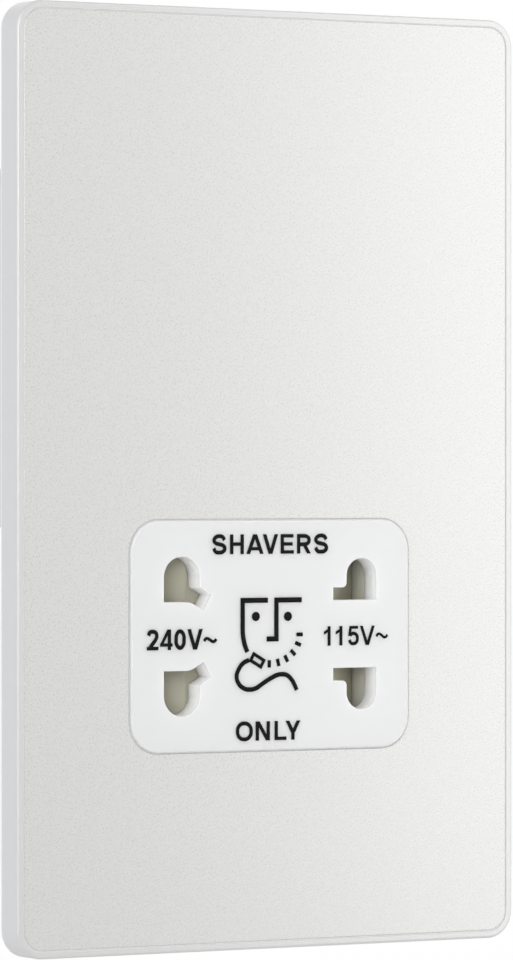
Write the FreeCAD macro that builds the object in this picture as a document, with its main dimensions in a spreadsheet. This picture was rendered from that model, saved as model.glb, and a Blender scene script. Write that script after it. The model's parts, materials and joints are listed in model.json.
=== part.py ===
import FreeCAD, Part
import math
import os
from types import SimpleNamespace

import Sketcher

# Dual-voltage shaver socket in an upright two-gang size.
# X is to the right, Y into the wall and Z up. The wall's surface is the plane Y = 0 and the
# origin lies midway between the two fixing holes. Everything is in millimetres.

Vector = FreeCAD.Vector

# Driving dimensions, grouped by the piece that they belong to.
dimensions = {
    # white frame against the wall
    "plate_width": 95.0,
    "plate_height": 154.0,
    "frame_depth": 5.5,
    "rim_width": 1.1,
    "frame_corner": 4.6,
    "frame_round": 0.45,
    "floor_thickness": 2.0,
    "fixing_spacing": 120.6,
    "fixing_hole": 3.9,
    "fixing_boss": 8.4,
    "fixing_boss_rise": 1.0,
    "pillar_diameter": 5.2,
    "pillar_length": 12.0,
    "core_rib": 1.6,
    # pearl cover plate and its clips
    "plate_gap": 0.15,
    "plate_drop": 0.12,
    "plate_thickness": 1.3,
    "plate_round": 0.25,
    "plate_lip": 1.2,
    "plate_lip_depth": 0.7,
    "clip_width": 8.0,
    "clip_thickness": 1.0,
    "clip_floor_gap": 0.15,
    "clip_bead": 0.55,
    "clip_bead_height": 0.6,
    "clip_play": 0.2,
    "clip_side_spacing": 52.0,
    "clip_end_offset": 25.0,
    # socket face
    "face_width": 53.3,
    "face_height": 37.8,
    "face_corner": 5.2,
    "face_drop": 25.55,
    "face_proud": 0.3,
    "face_gap": 0.1,
    "face_round": 0.35,
    "face_front_wall": 2.2,
    "face_side_wall": 1.5,
    "face_flange": 1.25,
    "face_flange_thickness": 1.6,
    "slot_depth": 3.85,
    "slot_round": 0.12,
    "slot_inner": 5.6,
    "slot_outer": 9.6,
    "slot_margin": 1.6,
    "slot_240_x": 17.1,
    "slot_240_radius": 3.4,
    "slot_240_tab_x": 11.55,
    "slot_240_tab_z": 6.7,
    "slot_240_tab_width": 2.9,
    "slot_240_tab_angle": 30.0,
    "slot_240_corner": 4.0,
    "slot_115_x": 17.4,
    "slot_115_radius": 2.9,
    "slot_115_tab_x": 11.9,
    "slot_115_tab_height": 2.1,
    "slot_115_corner": 0.8,
    # sprung shutters
    "slide_gap": 0.15,
    "shutter_thickness": 5.5,
    "shutter_inner": 9.2,
    "shutter_half_height": 14.2,
    "guide_half_width": 20.5,
    "shutter_end_gap": 0.35,
    "ramp_start": 14.25,
    "ramp_band": 5.1,
    "ramp_end_thickness": 1.9,
    "cam_rise": 0.1,
    "cam_band": 1.5,
    "spring_row": 3.5,
    "spring_outside": 2.6,
    "spring_wire": 0.36,
    "spring_coils": 11.0,
    "spring_seat": 17.4,
    "spring_play": 0.1,
    "post_half_width": 0.8,
    # contact block and contacts
    "block_play": 0.25,
    "guide_floor": 2.0,
    "chamber_depth": 14.0,
    "block_flange_thickness": 2.0,
    "block_rear_half_width": 24.0,
    "block_rear_half_height": 16.0,
    "block_cover": 1.6,
    "pin_opening_start": 11.7,
    "chamber_start": 12.3,
    "chamber_end": 21.2,
    "chamber_low": 4.9,
    "chamber_high": 13.9,
    "bay_half_width": 13.5,
    "bay_half_height": 2.4,
    "contact_sheet": 0.6,
    "contact_gap": 3.4,
    "contact_low": 5.4,
    "contact_high": 13.4,
    "contact_front": 1.75,
    "contact_flare": 0.8,
    "contact_flare_length": 1.5,
    "contact_back_gap": 0.6,
    "contact_tail_start": 2.15,
    "contact_tail_width": 2.5,
    "contact_tail_top": 19.0,
    "common_strip_low": 8.0,
    "common_strip_high": 11.0,
    "common_strip_half": 1.5,
    # switches
    "plunger_x": 10.3,
    "plunger_diameter": 1.8,
    "plunger_play": 0.2,
    "plunger_length": 5.2,
    "switch_start": 0.6,
    "switch_end": 13.2,
    "switch_depth": 6.1,
    "switch_bore_depth": 3.3,
    "switch_tag_length": 2.4,
    "switch_tag_far": 11.0,
    "switch_tag_near": 3.2,
    # transformer
    "core_middle": 20.0,
    "core_stack": 18.0,
    "core_width": 48.0,
    "core_leg": 16.0,
    "core_side": 8.0,
    "core_base": 2.0,
    "core_window": 24.0,
    "strap_sheet": 0.8,
    "strap_width": 14.0,
    "strap_foot": 6.0,
    "bobbin_play": 0.2,
    "bobbin_wall": 1.0,
    "bobbin_flange": 1.2,
    "bobbin_divider": 0.8,
    "bobbin_end_play": 0.3,
    "bobbin_side_play": 0.6,
    "bobbin_reach": 15.0,
    "winding_inset": 0.8,
    "winding_round": 4.0,
    "tape": 0.3,
    "bobbin_pin": 1.0,
    "bobbin_pin_length": 2.9,
    "pin_inset": 2.5,
    "pin_side": 12.0,
    "cutout_width": 9.5,
    "cutout_height": 5.8,
    "cutout_thickness": 2.6,
    # rear housing
    "housing_side_room": 2.3,
    "housing_end_room": 4.5,
    "housing_depth": 38.0,
    "housing_corner": 4.0,
    "housing_wall": 1.8,
    "step_height": 8.0,
    "wire_space": 4.6,
    "column_inset": 4.8,
    "column_diameter": 7.2,
    "column_web": 3.0,
    "rib": 1.6,
    "vent_count": 6,
    "vent_width": 24.0,
    "vent_height": 1.8,
    "vent_pitch": 5.0,
    "screw_shank": 2.9,
    "screw_play": 0.05,
    "screw_hole_play": 0.15,
    "screw_head": 5.4,
    "screw_head_play": 0.3,
    "screw_head_height": 1.8,
    "screw_grip": 9.6,
    # terminals
    "terminal_spacing": 11.0,
    "terminal_width": 7.6,
    "terminal_height": 9.0,
    "terminal_length": 8.0,
    "terminal_drop": 37.5,
    "terminal_play": 0.2,
    "terminal_bore": 3.6,
    "terminal_bore_depth": 3.75,
    "terminal_screw": 3.0,
    "terminal_screw_head": 4.8,
    "terminal_screw_head_height": 1.4,
    "terminal_screw_rise": 2.0,
    "terminal_tag_half": 1.5,
    "terminal_tag_thickness": 0.8,
    "terminal_tag_reach": 1.9,
    "tower_wall": 2.2,
    "tower_top_wall": 3.8,
    "entry_hole": 4.4,
    # leads
    "lead_diameter": 1.3,
    "lead_bend": 2.0,
    "lead_tight_bend": 1.0,
}

document = FreeCAD.newDocument("ShaverSocket")
sheet = document.addObject("Spreadsheet::Sheet", "Sizes")
for row, (alias, amount) in enumerate(dimensions.items(), start=1):
    sheet.set("A%d" % row, alias)
    sheet.set("B%d" % row, str(amount))
    sheet.setAlias("B%d" % row, alias)
document.recompute()


class Size:
    """A number together with the sheet expression that gives it."""

    def __init__(self, value, text):
        self.value = value
        self.text = text

    def join(self, other, sign, value, turned=False):
        first, second = words(self), words(other)
        if turned:
            first, second = second, first
        return Size(value, "(%s %s %s)" % (first, sign, second))

    def __add__(self, other):
        return self.join(other, "+", self.value + number(other))

    def __radd__(self, other):
        return self.join(other, "+", number(other) + self.value, True)

    def __sub__(self, other):
        return self.join(other, "-", self.value - number(other))

    def __rsub__(self, other):
        return self.join(other, "-", number(other) - self.value, True)

    def __mul__(self, other):
        return self.join(other, "*", self.value * number(other))

    def __rmul__(self, other):
        return self.join(other, "*", number(other) * self.value, True)

    def __truediv__(self, other):
        return self.join(other, "/", self.value / number(other))

    def __neg__(self):
        return Size(-self.value, "(-1 * %s)" % self.text)


def number(item):
    return item.value if isinstance(item, Size) else item


def words(item):
    return item.text if isinstance(item, Size) else repr(item)


def bind(thing, path, item):
    """Tie one property of an object to a size."""
    thing.setExpression(path, words(item))


dim = SimpleNamespace(**{name: Size(sheet.get(name), "Sizes." + name) for name in dimensions})
pieces = {}


def keep(name, thing):
    """Name a finished sub-part."""
    thing.Label = name
    pieces[name] = thing
    return thing


# Outlines


def hold_point(sketch, name, curve, point, x, y):
    """Fix a point of a curve at a bound distance from the sketch's origin."""
    for kind, item in (("DistanceX", x), ("DistanceY", y)):
        if item is None:
            continue
        label = name + kind[-1]
        index = sketch.addConstraint(Sketcher.Constraint(kind, -1, 1, curve, point, number(item)))
        sketch.renameConstraint(index, label)
        bind(sketch, "Constraints." + label, item)


def polygon(*points):
    """An outline of straight sides through the given points."""

    def draw(sketch):
        spots = [Vector(number(x), number(y), 0) for x, y in points]
        count = len(spots)
        for index in range(count):
            sketch.addGeometry(Part.LineSegment(spots[index], spots[(index + 1) % count]))
        for index in range(count):
            sketch.addConstraint(Sketcher.Constraint("Coincident", index, 2, (index + 1) % count, 1))
        for index, (x, y) in enumerate(points):
            hold_point(sketch, "corner%d" % index, index, 1, x, y)

    return draw


def rectangle(left, right, low, high):
    return polygon((left, low), (right, low), (right, high), (left, high))


def rounded(left, right, low, high, radius):
    """A rectangle with four equal round corners."""

    def draw(sketch):
        x0, x1, y0, y1, r = [number(item) for item in (left, right, low, high, radius)]
        ends = [
            ((x0 + r, y0), (x1 - r, y0)),
            ((x1, y0 + r), (x1, y1 - r)),
            ((x1 - r, y1), (x0 + r, y1)),
            ((x0, y1 - r), (x0, y0 + r)),
        ]
        centres = [(x1 - r, y0 + r), (x1 - r, y1 - r), (x0 + r, y1 - r), (x0 + r, y0 + r)]
        for (start_x, start_y), (end_x, end_y) in ends:
            sketch.addGeometry(Part.LineSegment(Vector(start_x, start_y, 0), Vector(end_x, end_y, 0)))
        for quarter, (x, y) in enumerate(centres):
            circle = Part.Circle(Vector(x, y, 0), Vector(0, 0, 1), r)
            start = (quarter - 1) * math.pi / 2
            sketch.addGeometry(Part.ArcOfCircle(circle, start, start + math.pi / 2))
        for side in range(4):
            arc = 4 + side
            sketch.addConstraint(Sketcher.Constraint("Tangent", side, 2, arc, 1))
            sketch.addConstraint(Sketcher.Constraint("Tangent", arc, 2, (side + 1) % 4, 1))
            sketch.addConstraint(Sketcher.Constraint("Vertical" if side % 2 else "Horizontal", side))
            if side:
                sketch.addConstraint(Sketcher.Constraint("Equal", 4, arc))
        index = sketch.addConstraint(Sketcher.Constraint("Radius", 4, r))
        sketch.renameConstraint(index, "corner")
        bind(sketch, "Constraints.corner", radius)
        hold_point(sketch, "low", 0, 1, None, low)
        hold_point(sketch, "right", 1, 1, right, None)
        hold_point(sketch, "high", 2, 1, None, high)
        hold_point(sketch, "left", 3, 1, left, None)

    return draw


def ring(x, y, radius):
    """A full circle."""

    def draw(sketch):
        sketch.addGeometry(Part.Circle(Vector(number(x), number(y), 0), Vector(0, 0, 1), number(radius)))
        index = sketch.addConstraint(Sketcher.Constraint("Radius", 0, number(radius)))
        sketch.renameConstraint(index, "radius")
        bind(sketch, "Constraints.radius", radius)
        hold_point(sketch, "centre", 0, 3, x, y)

    return draw


# Features of moulded and stamped pieces


def new_body(name):
    return keep(name, document.addObject("PartDesign::Body", name))


def new_sketch(body, plane, near, draw):
    """A sketch on one of the body's own planes, moved along Y, Z or X to the coordinate near."""
    sketch = body.newObject("Sketcher::SketchObject", body.Name + "Sketch")
    origin_plane = [item for item in body.Origin.OriginFeatures if item.Role == plane][0]
    sketch.AttachmentSupport = (origin_plane, [""])
    sketch.MapMode = "FlatFace"
    shift = -1 * near if plane == "XZ_Plane" else near
    bind(sketch, "AttachmentOffset.Base.z", shift)
    draw(sketch)
    return sketch


def add(body, draw, near, far, plane="XZ_Plane"):
    """Material inside an outline, from near to far along the plane's axis."""
    pad = body.newObject("PartDesign::Pad", body.Name + "Pad")
    pad.Profile = new_sketch(body, plane, near, draw)
    pad.Reversed = plane == "XZ_Plane"
    bind(pad, "Length", far - near)
    return pad


def cut(body, draw, near, far, plane="XZ_Plane"):
    """A hollow inside an outline, from near to far along the plane's axis."""
    pocket = body.newObject("PartDesign::Pocket", body.Name + "Pocket")
    pocket.Profile = new_sketch(body, plane, near, draw)
    pocket.Reversed = plane != "XZ_Plane"
    bind(pocket, "Length", far - near)
    return pocket


def soften(body, radius, chosen):
    """Round the edges that the test picks."""
    document.recompute()
    base = body.Tip
    names = ["Edge%d" % (i + 1) for i, edge in enumerate(base.Shape.Edges) if chosen(edge)]
    fillet = body.newObject("PartDesign::Fillet", body.Name + "Fillet")
    fillet.Base = (base, names)
    bind(fillet, "Radius", radius)
    return fillet


def lies_at(edge, level):
    """Whether an edge lies wholly in the plane at one depth."""
    box = edge.BoundBox
    return abs(box.YMin - number(level)) < 1e-4 and abs(box.YMax - number(level)) < 1e-4


def reach(edge):
    """How far out an edge lies from the middle, across and up."""
    box = edge.BoundBox
    return max(abs(box.XMin), abs(box.XMax)), max(abs(box.ZMin), abs(box.ZMax))


# Plain blocks, rods and groups


def block(name, left, right, front, back, low, high):
    box = document.addObject("Part::Box", name)
    bind(box, "Length", right - left)
    bind(box, "Width", back - front)
    bind(box, "Height", high - low)
    for axis, item in zip("xyz", (left, front, low)):
        bind(box, "Placement.Base." + axis, item)
    return box


def rod(name, x, y, z, radius, length, axis="y"):
    """A cylinder that starts at a point and runs along +Y or +Z."""
    cylinder = document.addObject("Part::Cylinder", name)
    bind(cylinder, "Radius", radius)
    bind(cylinder, "Height", length)
    if axis == "y":
        cylinder.Placement.Rotation = FreeCAD.Rotation(Vector(1, 0, 0), -90)
    for direction, item in zip("xyz", (x, y, z)):
        bind(cylinder, "Placement.Base." + direction, item)
    return cylinder


def fuse(name, *things):
    union = document.addObject("Part::MultiFuse", name)
    union.Shapes = list(things)
    return union


def subtract(name, base, tool):
    difference = document.addObject("Part::Cut", name)
    difference.Base = base
    difference.Tool = tool
    return difference


def group(name, things):
    compound = document.addObject("Part::Compound", name)
    compound.Links = list(things)
    return keep(name, compound)


# Levels along Y, from the front of the socket to the back of its housing

wall = dim.plate_width * 0
frame_front = -dim.frame_depth
floor_front = -dim.floor_thickness
plate_front = frame_front + dim.plate_drop
plate_back = plate_front + dim.plate_thickness
lip_back = plate_back + dim.plate_lip_depth
clip_back = floor_front - dim.clip_floor_gap
bead_front = clip_back - dim.clip_bead_height - dim.clip_play
face_front = frame_front - dim.face_proud
face_back = dim.face_flange_thickness
slot_back = face_front + dim.slot_depth
shutter_front = slot_back + dim.slide_gap
shutter_back = shutter_front + dim.shutter_thickness
guide_front = shutter_back + dim.slide_gap
guide_back = guide_front + dim.guide_floor
block_flange_back = face_back + dim.block_flange_thickness
block_back = guide_back + dim.chamber_depth
cover_back = block_back + dim.block_cover
step_inner = cover_back + dim.wire_space
step_outer = step_inner + dim.housing_wall
housing_back = dim.housing_depth
housing_inner = housing_back - dim.housing_wall
core_front = dim.core_middle - dim.core_stack / 2
core_back = dim.core_middle + dim.core_stack / 2

# Places across and up

half_width = dim.plate_width / 2
half_height = dim.plate_height / 2
inner_half_width = half_width - dim.rim_width
inner_half_height = half_height - dim.rim_width
face_middle = -dim.face_drop
face_half_width = dim.face_width / 2
face_half_height = dim.face_height / 2
flange_half_width = face_half_width + dim.face_flange
flange_half_height = face_half_height + dim.face_flange
flange_corner = dim.face_corner + dim.face_flange
housing_half_width = flange_half_width + dim.housing_side_room + dim.housing_wall
housing_half_height = dim.face_drop + flange_half_height + dim.housing_end_room + dim.housing_wall
column_x = housing_half_width - dim.column_inset
column_z = housing_half_height - dim.column_inset
core_half_width = dim.core_width / 2
core_leg_half = dim.core_leg / 2
yoke_top = dim.core_base + dim.core_side
window_top = yoke_top + dim.core_window
core_top = window_top + dim.core_side
rib_middle = core_half_width - dim.core_side / 2
rib_low = yoke_top - dim.core_side / 2
rib_high = window_top + dim.core_side / 2
slot_240_outer = dim.slot_240_x + dim.slot_240_radius
slot_240_inner = dim.slot_240_x - dim.slot_240_radius
slot_115_outer = dim.slot_115_x + dim.slot_115_radius
slot_115_inner = dim.slot_115_x - dim.slot_115_radius
shutter_outer = dim.guide_half_width - dim.shutter_end_gap
cam_at_plunger = shutter_back - dim.cam_rise * (shutter_outer - dim.plunger_x)
coil_front = dim.core_middle - dim.bobbin_reach
coil_back = dim.core_middle + dim.bobbin_reach
coil_half_width = core_half_width - dim.core_side - dim.bobbin_side_play
bobbin_low = yoke_top + dim.bobbin_end_play
bobbin_high = window_top - dim.bobbin_end_play
bobbin_middle = (bobbin_low + bobbin_high) / 2
clip_half = dim.clip_width / 2

# The clips: two or three along each side, each as (middle across, middle up, outward direction)
side_clips = [(side, step * dim.clip_side_spacing) for side in (-1, 1) for step in (-1, 0, 1)]
end_clips = [(step * dim.clip_end_offset, end) for end in (-1, 1) for step in (-1, 1)]


def side_patch(side, level, middle, near, far, half):
    """A rectangle on the left or right side, between two distances outward from a level."""
    left, right = side * (level + near), side * (level + far)
    return rectangle(left, right, middle - half, middle + half)


def end_patch(end, level, middle, near, far, half):
    """The same at the top or the bottom."""
    low, high = end * (level + near), end * (level + far)
    return rectangle(middle - half, middle + half, low, high)


def make_base_frame():
    body = new_body("base_frame")
    outline = rounded(-half_width, half_width, -half_height, half_height, dim.frame_corner)
    add(body, outline, frame_front, wall)
    tray_corner = dim.frame_corner - dim.rim_width
    tray = rounded(-inner_half_width, inner_half_width, -inner_half_height, inner_half_height, tray_corner)
    cut(body, tray, frame_front, floor_front)
    soften(body, dim.frame_round, lambda edge: lies_at(edge, frame_front) and is_outer_edge(edge))
    for end in (-1, 1):
        middle = end * dim.fixing_spacing / 2
        add(body, ring(wall, middle, dim.fixing_boss / 2), floor_front - dim.fixing_boss_rise, floor_front)
    window = rounded(
        -face_half_width - dim.face_gap,
        face_half_width + dim.face_gap,
        face_middle - face_half_height - dim.face_gap,
        face_middle + face_half_height + dim.face_gap,
        dim.face_corner + dim.face_gap,
    )
    cut(body, window, floor_front, wall)
    for end in (-1, 1):
        middle = end * dim.fixing_spacing / 2
        cut(body, ring(wall, middle, dim.fixing_hole / 2), floor_front - dim.fixing_boss_rise, wall)
    recess_half = clip_half + dim.clip_play
    recess_depth = dim.clip_bead
    for side, middle in side_clips:
        patch = side_patch(side, inner_half_width, middle, wall, recess_depth, recess_half)
        cut(body, patch, bead_front, clip_back + dim.clip_play)
    for middle, end in end_clips:
        patch = end_patch(end, inner_half_height, middle, wall, recess_depth, recess_half)
        cut(body, patch, bead_front, clip_back + dim.clip_play)
    for side in (-1, 1):
        left = side * rib_middle - dim.core_rib / 2
        right = side * rib_middle + dim.core_rib / 2
        add(body, rectangle(left, right, rib_low, rib_high), wall, core_front)
        for end in (-1, 1):
            spot = (side * column_x, end * column_z)
            add(body, ring(*spot, dim.pillar_diameter / 2), wall, dim.pillar_length)
            pilot = ring(*spot, dim.screw_shank / 2 + dim.screw_play)
            cut(body, pilot, dim.pillar_length - dim.screw_grip - dim.screw_play, dim.pillar_length)


def is_outer_edge(edge):
    across, up = reach(edge)
    return across > number(inner_half_width) + 0.01 or up > number(inner_half_height) + 0.01


def make_front_plate():
    body = new_body("front_plate")
    plate_half_width = inner_half_width - dim.plate_gap
    plate_half_height = inner_half_height - dim.plate_gap
    corner = dim.frame_corner - dim.rim_width - dim.plate_gap
    outline = rounded(-plate_half_width, plate_half_width, -plate_half_height, plate_half_height, corner)
    add(body, outline, plate_front, lip_back)
    lip = dim.plate_lip
    hollow = rounded(
        lip - plate_half_width,
        plate_half_width - lip,
        lip - plate_half_height,
        plate_half_height - lip,
        corner - lip,
    )
    cut(body, hollow, plate_back, lip_back)
    opening_half_width = face_half_width + dim.face_gap
    opening_half_height = face_half_height + dim.face_gap
    collar = rounded(
        -opening_half_width - lip,
        opening_half_width + lip,
        face_middle - opening_half_height - lip,
        face_middle + opening_half_height + lip,
        dim.face_corner + dim.face_gap + lip,
    )
    add(body, collar, plate_back, clip_back)
    window = rounded(
        -opening_half_width,
        opening_half_width,
        face_middle - opening_half_height,
        face_middle + opening_half_height,
        dim.face_corner + dim.face_gap,
    )
    cut(body, window, plate_front, clip_back)
    leg = dim.clip_thickness + dim.plate_gap
    bead_end = dim.plate_gap + dim.clip_bead - dim.clip_play
    for side, middle in side_clips:
        add(body, side_patch(side, plate_half_width, middle, -leg, -dim.plate_gap, clip_half), plate_back, clip_back)
        bead = side_patch(side, plate_half_width, middle, -leg, bead_end, clip_half)
        add(body, bead, bead_front + dim.clip_play, clip_back)
    for middle, end in end_clips:
        add(body, end_patch(end, plate_half_height, middle, -leg, -dim.plate_gap, clip_half), plate_back, clip_back)
        bead = end_patch(end, plate_half_height, middle, -leg, bead_end, clip_half)
        add(body, bead, bead_front + dim.clip_play, clip_back)
    soften(body, dim.plate_round, lambda edge: lies_at(edge, plate_front))


def slot_240_outlines(end):
    """The straight part, the round end and the slanting tab of a slot for a round-pin plug."""
    inner = face_middle + end * dim.slot_inner
    outer = face_middle + end * dim.slot_outer
    slant = math.radians(number(dim.slot_240_tab_angle))
    along_x, along_z = math.cos(slant), math.sin(slant)
    tip = (-dim.slot_240_tab_x, dim.slot_240_tab_z)
    foot = (tip[0] - dim.slot_240_tab_width * along_z, tip[1] - dim.slot_240_tab_width * along_x)
    run = dim.slot_240_radius * 1.2
    tab = [tip, foot, (foot[0] - run * along_x, foot[1] + run * along_z)]
    tab.append((tip[0] - run * along_x, tip[1] + run * along_z))
    return [
        rectangle(-slot_240_outer, -slot_240_inner, inner, outer),
        ring(-dim.slot_240_x, outer, dim.slot_240_radius),
        polygon(*[(x, face_middle + end * z) for x, z in tab]),
    ]


def slot_115_outlines(end):
    """The straight part, the round end and the level tab of a slot for a flat-pin plug."""
    inner = face_middle + end * dim.slot_inner
    outer = face_middle + end * dim.slot_outer
    tab_top = face_middle + end * slot_115_step
    return [
        rectangle(slot_115_inner, slot_115_outer, inner, outer),
        ring(dim.slot_115_x, outer, dim.slot_115_radius),
        rectangle(dim.slot_115_tab_x, dim.slot_115_x, inner, tab_top),
    ]


def make_socket_face():
    body = new_body("socket_face")
    outline = rounded(
        -face_half_width,
        face_half_width,
        face_middle - face_half_height,
        face_middle + face_half_height,
        dim.face_corner,
    )
    add(body, outline, face_front, face_back)
    soften(body, dim.face_round, lambda edge: lies_at(edge, face_front))
    flange = rounded(
        -flange_half_width,
        flange_half_width,
        face_middle - flange_half_height,
        face_middle + flange_half_height,
        flange_corner,
    )
    add(body, flange, wall, face_back)
    side = dim.face_side_wall
    hollow = rounded(
        side - face_half_width,
        face_half_width - side,
        face_middle + side - face_half_height,
        face_middle + face_half_height - side,
        dim.face_corner - side,
    )
    cut(body, hollow, face_front + dim.face_front_wall, face_back)
    margin = dim.slot_margin
    pad_top = dim.slot_outer + dim.slot_240_radius + margin
    pads = [
        (-slot_240_outer - margin, margin - dim.slot_240_tab_x + dim.slot_240_tab_width),
        (dim.slot_115_tab_x - margin - dim.slot_240_tab_width, slot_115_outer + margin),
    ]
    for left, right in pads:
        pad = rectangle(left, right, face_middle - pad_top, face_middle + pad_top)
        add(body, pad, face_front + dim.face_front_wall, slot_back)
    for end in (-1, 1):
        for slot in slot_240_outlines(end) + slot_115_outlines(end):
            cut(body, slot, face_front, slot_back)
    soften(body, dim.slot_240_corner, lambda edge: stands_at(edge, *slot_240_bend()))
    soften(body, dim.slot_115_corner, lambda edge: stands_at(edge, slot_115_inner, slot_115_step))
    soften(body, dim.slot_round, is_slot_rim)


slot_115_step = dim.slot_inner + dim.slot_115_tab_height


def slot_240_bend():
    """Where the slanting tab's lower edge meets the straight inner edge of its slot."""
    slant = math.radians(number(dim.slot_240_tab_angle))
    foot_x = -dim.slot_240_tab_x - dim.slot_240_tab_width * math.sin(slant)
    foot_z = dim.slot_240_tab_z - dim.slot_240_tab_width * math.cos(slant)
    return foot_x - (dim.slot_inner - foot_z) / math.tan(slant), dim.slot_inner


def stands_at(edge, across, up):
    """Whether an edge runs straight back at a place across the face and above or below its middle."""
    box = edge.BoundBox
    upright = box.YLength > 1 and box.XLength < 1e-3 and box.ZLength < 1e-3
    near_across = abs(box.XMin - number(across)) < 0.02
    return upright and near_across and abs(abs(box.ZMin - number(face_middle)) - number(up)) < 0.02


def is_slot_rim(edge):
    """The straight and round edges of the slots on the front face."""
    across = reach(edge)[0]
    up = abs(edge.BoundBox.Center.z - number(face_middle))
    inside = across < number(slot_240_outer) + 0.01 and up < number(dim.slot_outer + dim.slot_240_radius) + 0.01
    return lies_at(edge, face_front) and inside


def make_shutter(name, side):
    """A block with two ramps, which a plug's pins push towards the middle against its springs."""
    body = new_body(name)
    half = dim.shutter_half_height
    inner, outer = side * dim.shutter_inner, side * shutter_outer
    add(body, rectangle(inner, outer, face_middle - half, face_middle + half), shutter_front, shutter_back)
    ramp_low = shutter_back - dim.ramp_end_thickness
    ramp = [(side * dim.ramp_start, shutter_front), (outer, shutter_front), (outer, ramp_low)]
    band = dim.ramp_band
    cut(body, polygon(*ramp), face_middle + band, face_middle + half, "XY_Plane")
    cut(body, polygon(*ramp), face_middle - half, face_middle - band, "XY_Plane")
    deep = shutter_back - dim.cam_rise * (shutter_outer - dim.shutter_inner)
    cam = polygon((inner, shutter_back), (outer, shutter_back), (inner, deep))
    cut(body, cam, face_middle - dim.cam_band, face_middle + dim.cam_band, "XY_Plane")
    channel_half = dim.spring_outside / 2 + dim.spring_play
    spring_middle = shutter_back - channel_half - dim.spring_play
    for end in (-1, 1):
        row = face_middle + end * dim.spring_row
        channel = rectangle(inner, side * dim.spring_seat, row - channel_half, row + channel_half)
        cut(body, channel, spring_middle - channel_half, shutter_back)


def make_springs(name, side):
    """Two coils that lie in the shutter's channels, between the fixed posts and the shutter."""
    coils = []
    coil_radius = (dim.spring_outside - dim.spring_wire) / 2
    start = dim.post_half_width + dim.spring_play + dim.spring_wire / 2
    length = dim.spring_seat - start - dim.spring_play - dim.spring_wire / 2
    level = shutter_back - dim.spring_outside / 2 - 2 * dim.spring_play
    for end in (-1, 1):
        spine = document.addObject("Part::Helix", name + "Spine")
        bind(spine, "Pitch", length / dim.spring_coils)
        bind(spine, "Height", length)
        bind(spine, "Radius", coil_radius)
        section = document.addObject("Part::Circle", name + "Section")
        bind(section, "Radius", dim.spring_wire / 2)
        bind(section, "Placement.Base.x", coil_radius)
        section.Placement.Rotation = FreeCAD.Rotation(Vector(1, 0, 0), 90)
        coil = document.addObject("Part::Sweep", name + "Coil")
        coil.Sections = [section]
        coil.Spine = (spine, [])
        coil.Solid = True
        coil.Frenet = True
        coil.Placement.Rotation = FreeCAD.Rotation(Vector(0, 1, 0), 90 * side)
        bind(coil, "Placement.Base.x", side * start)
        bind(coil, "Placement.Base.y", level)
        bind(coil, "Placement.Base.z", face_middle + end * dim.spring_row)
        coils.append(coil)
    group(name, coils)


def contact_chambers():
    """The side and the end of the block in which each of the four contacts lies."""
    return [(side, end) for side in (-1, 1) for end in (-1, 1)]


def band_between(end, near, far):
    """Two heights on one side of the face's middle, the lower one first."""
    edges = (face_middle + end * near, face_middle + end * far)
    return edges if end > 0 else edges[::-1]


def across_between(side, near, far):
    edges = (side * near, side * far)
    return edges if side > 0 else edges[::-1]


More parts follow.
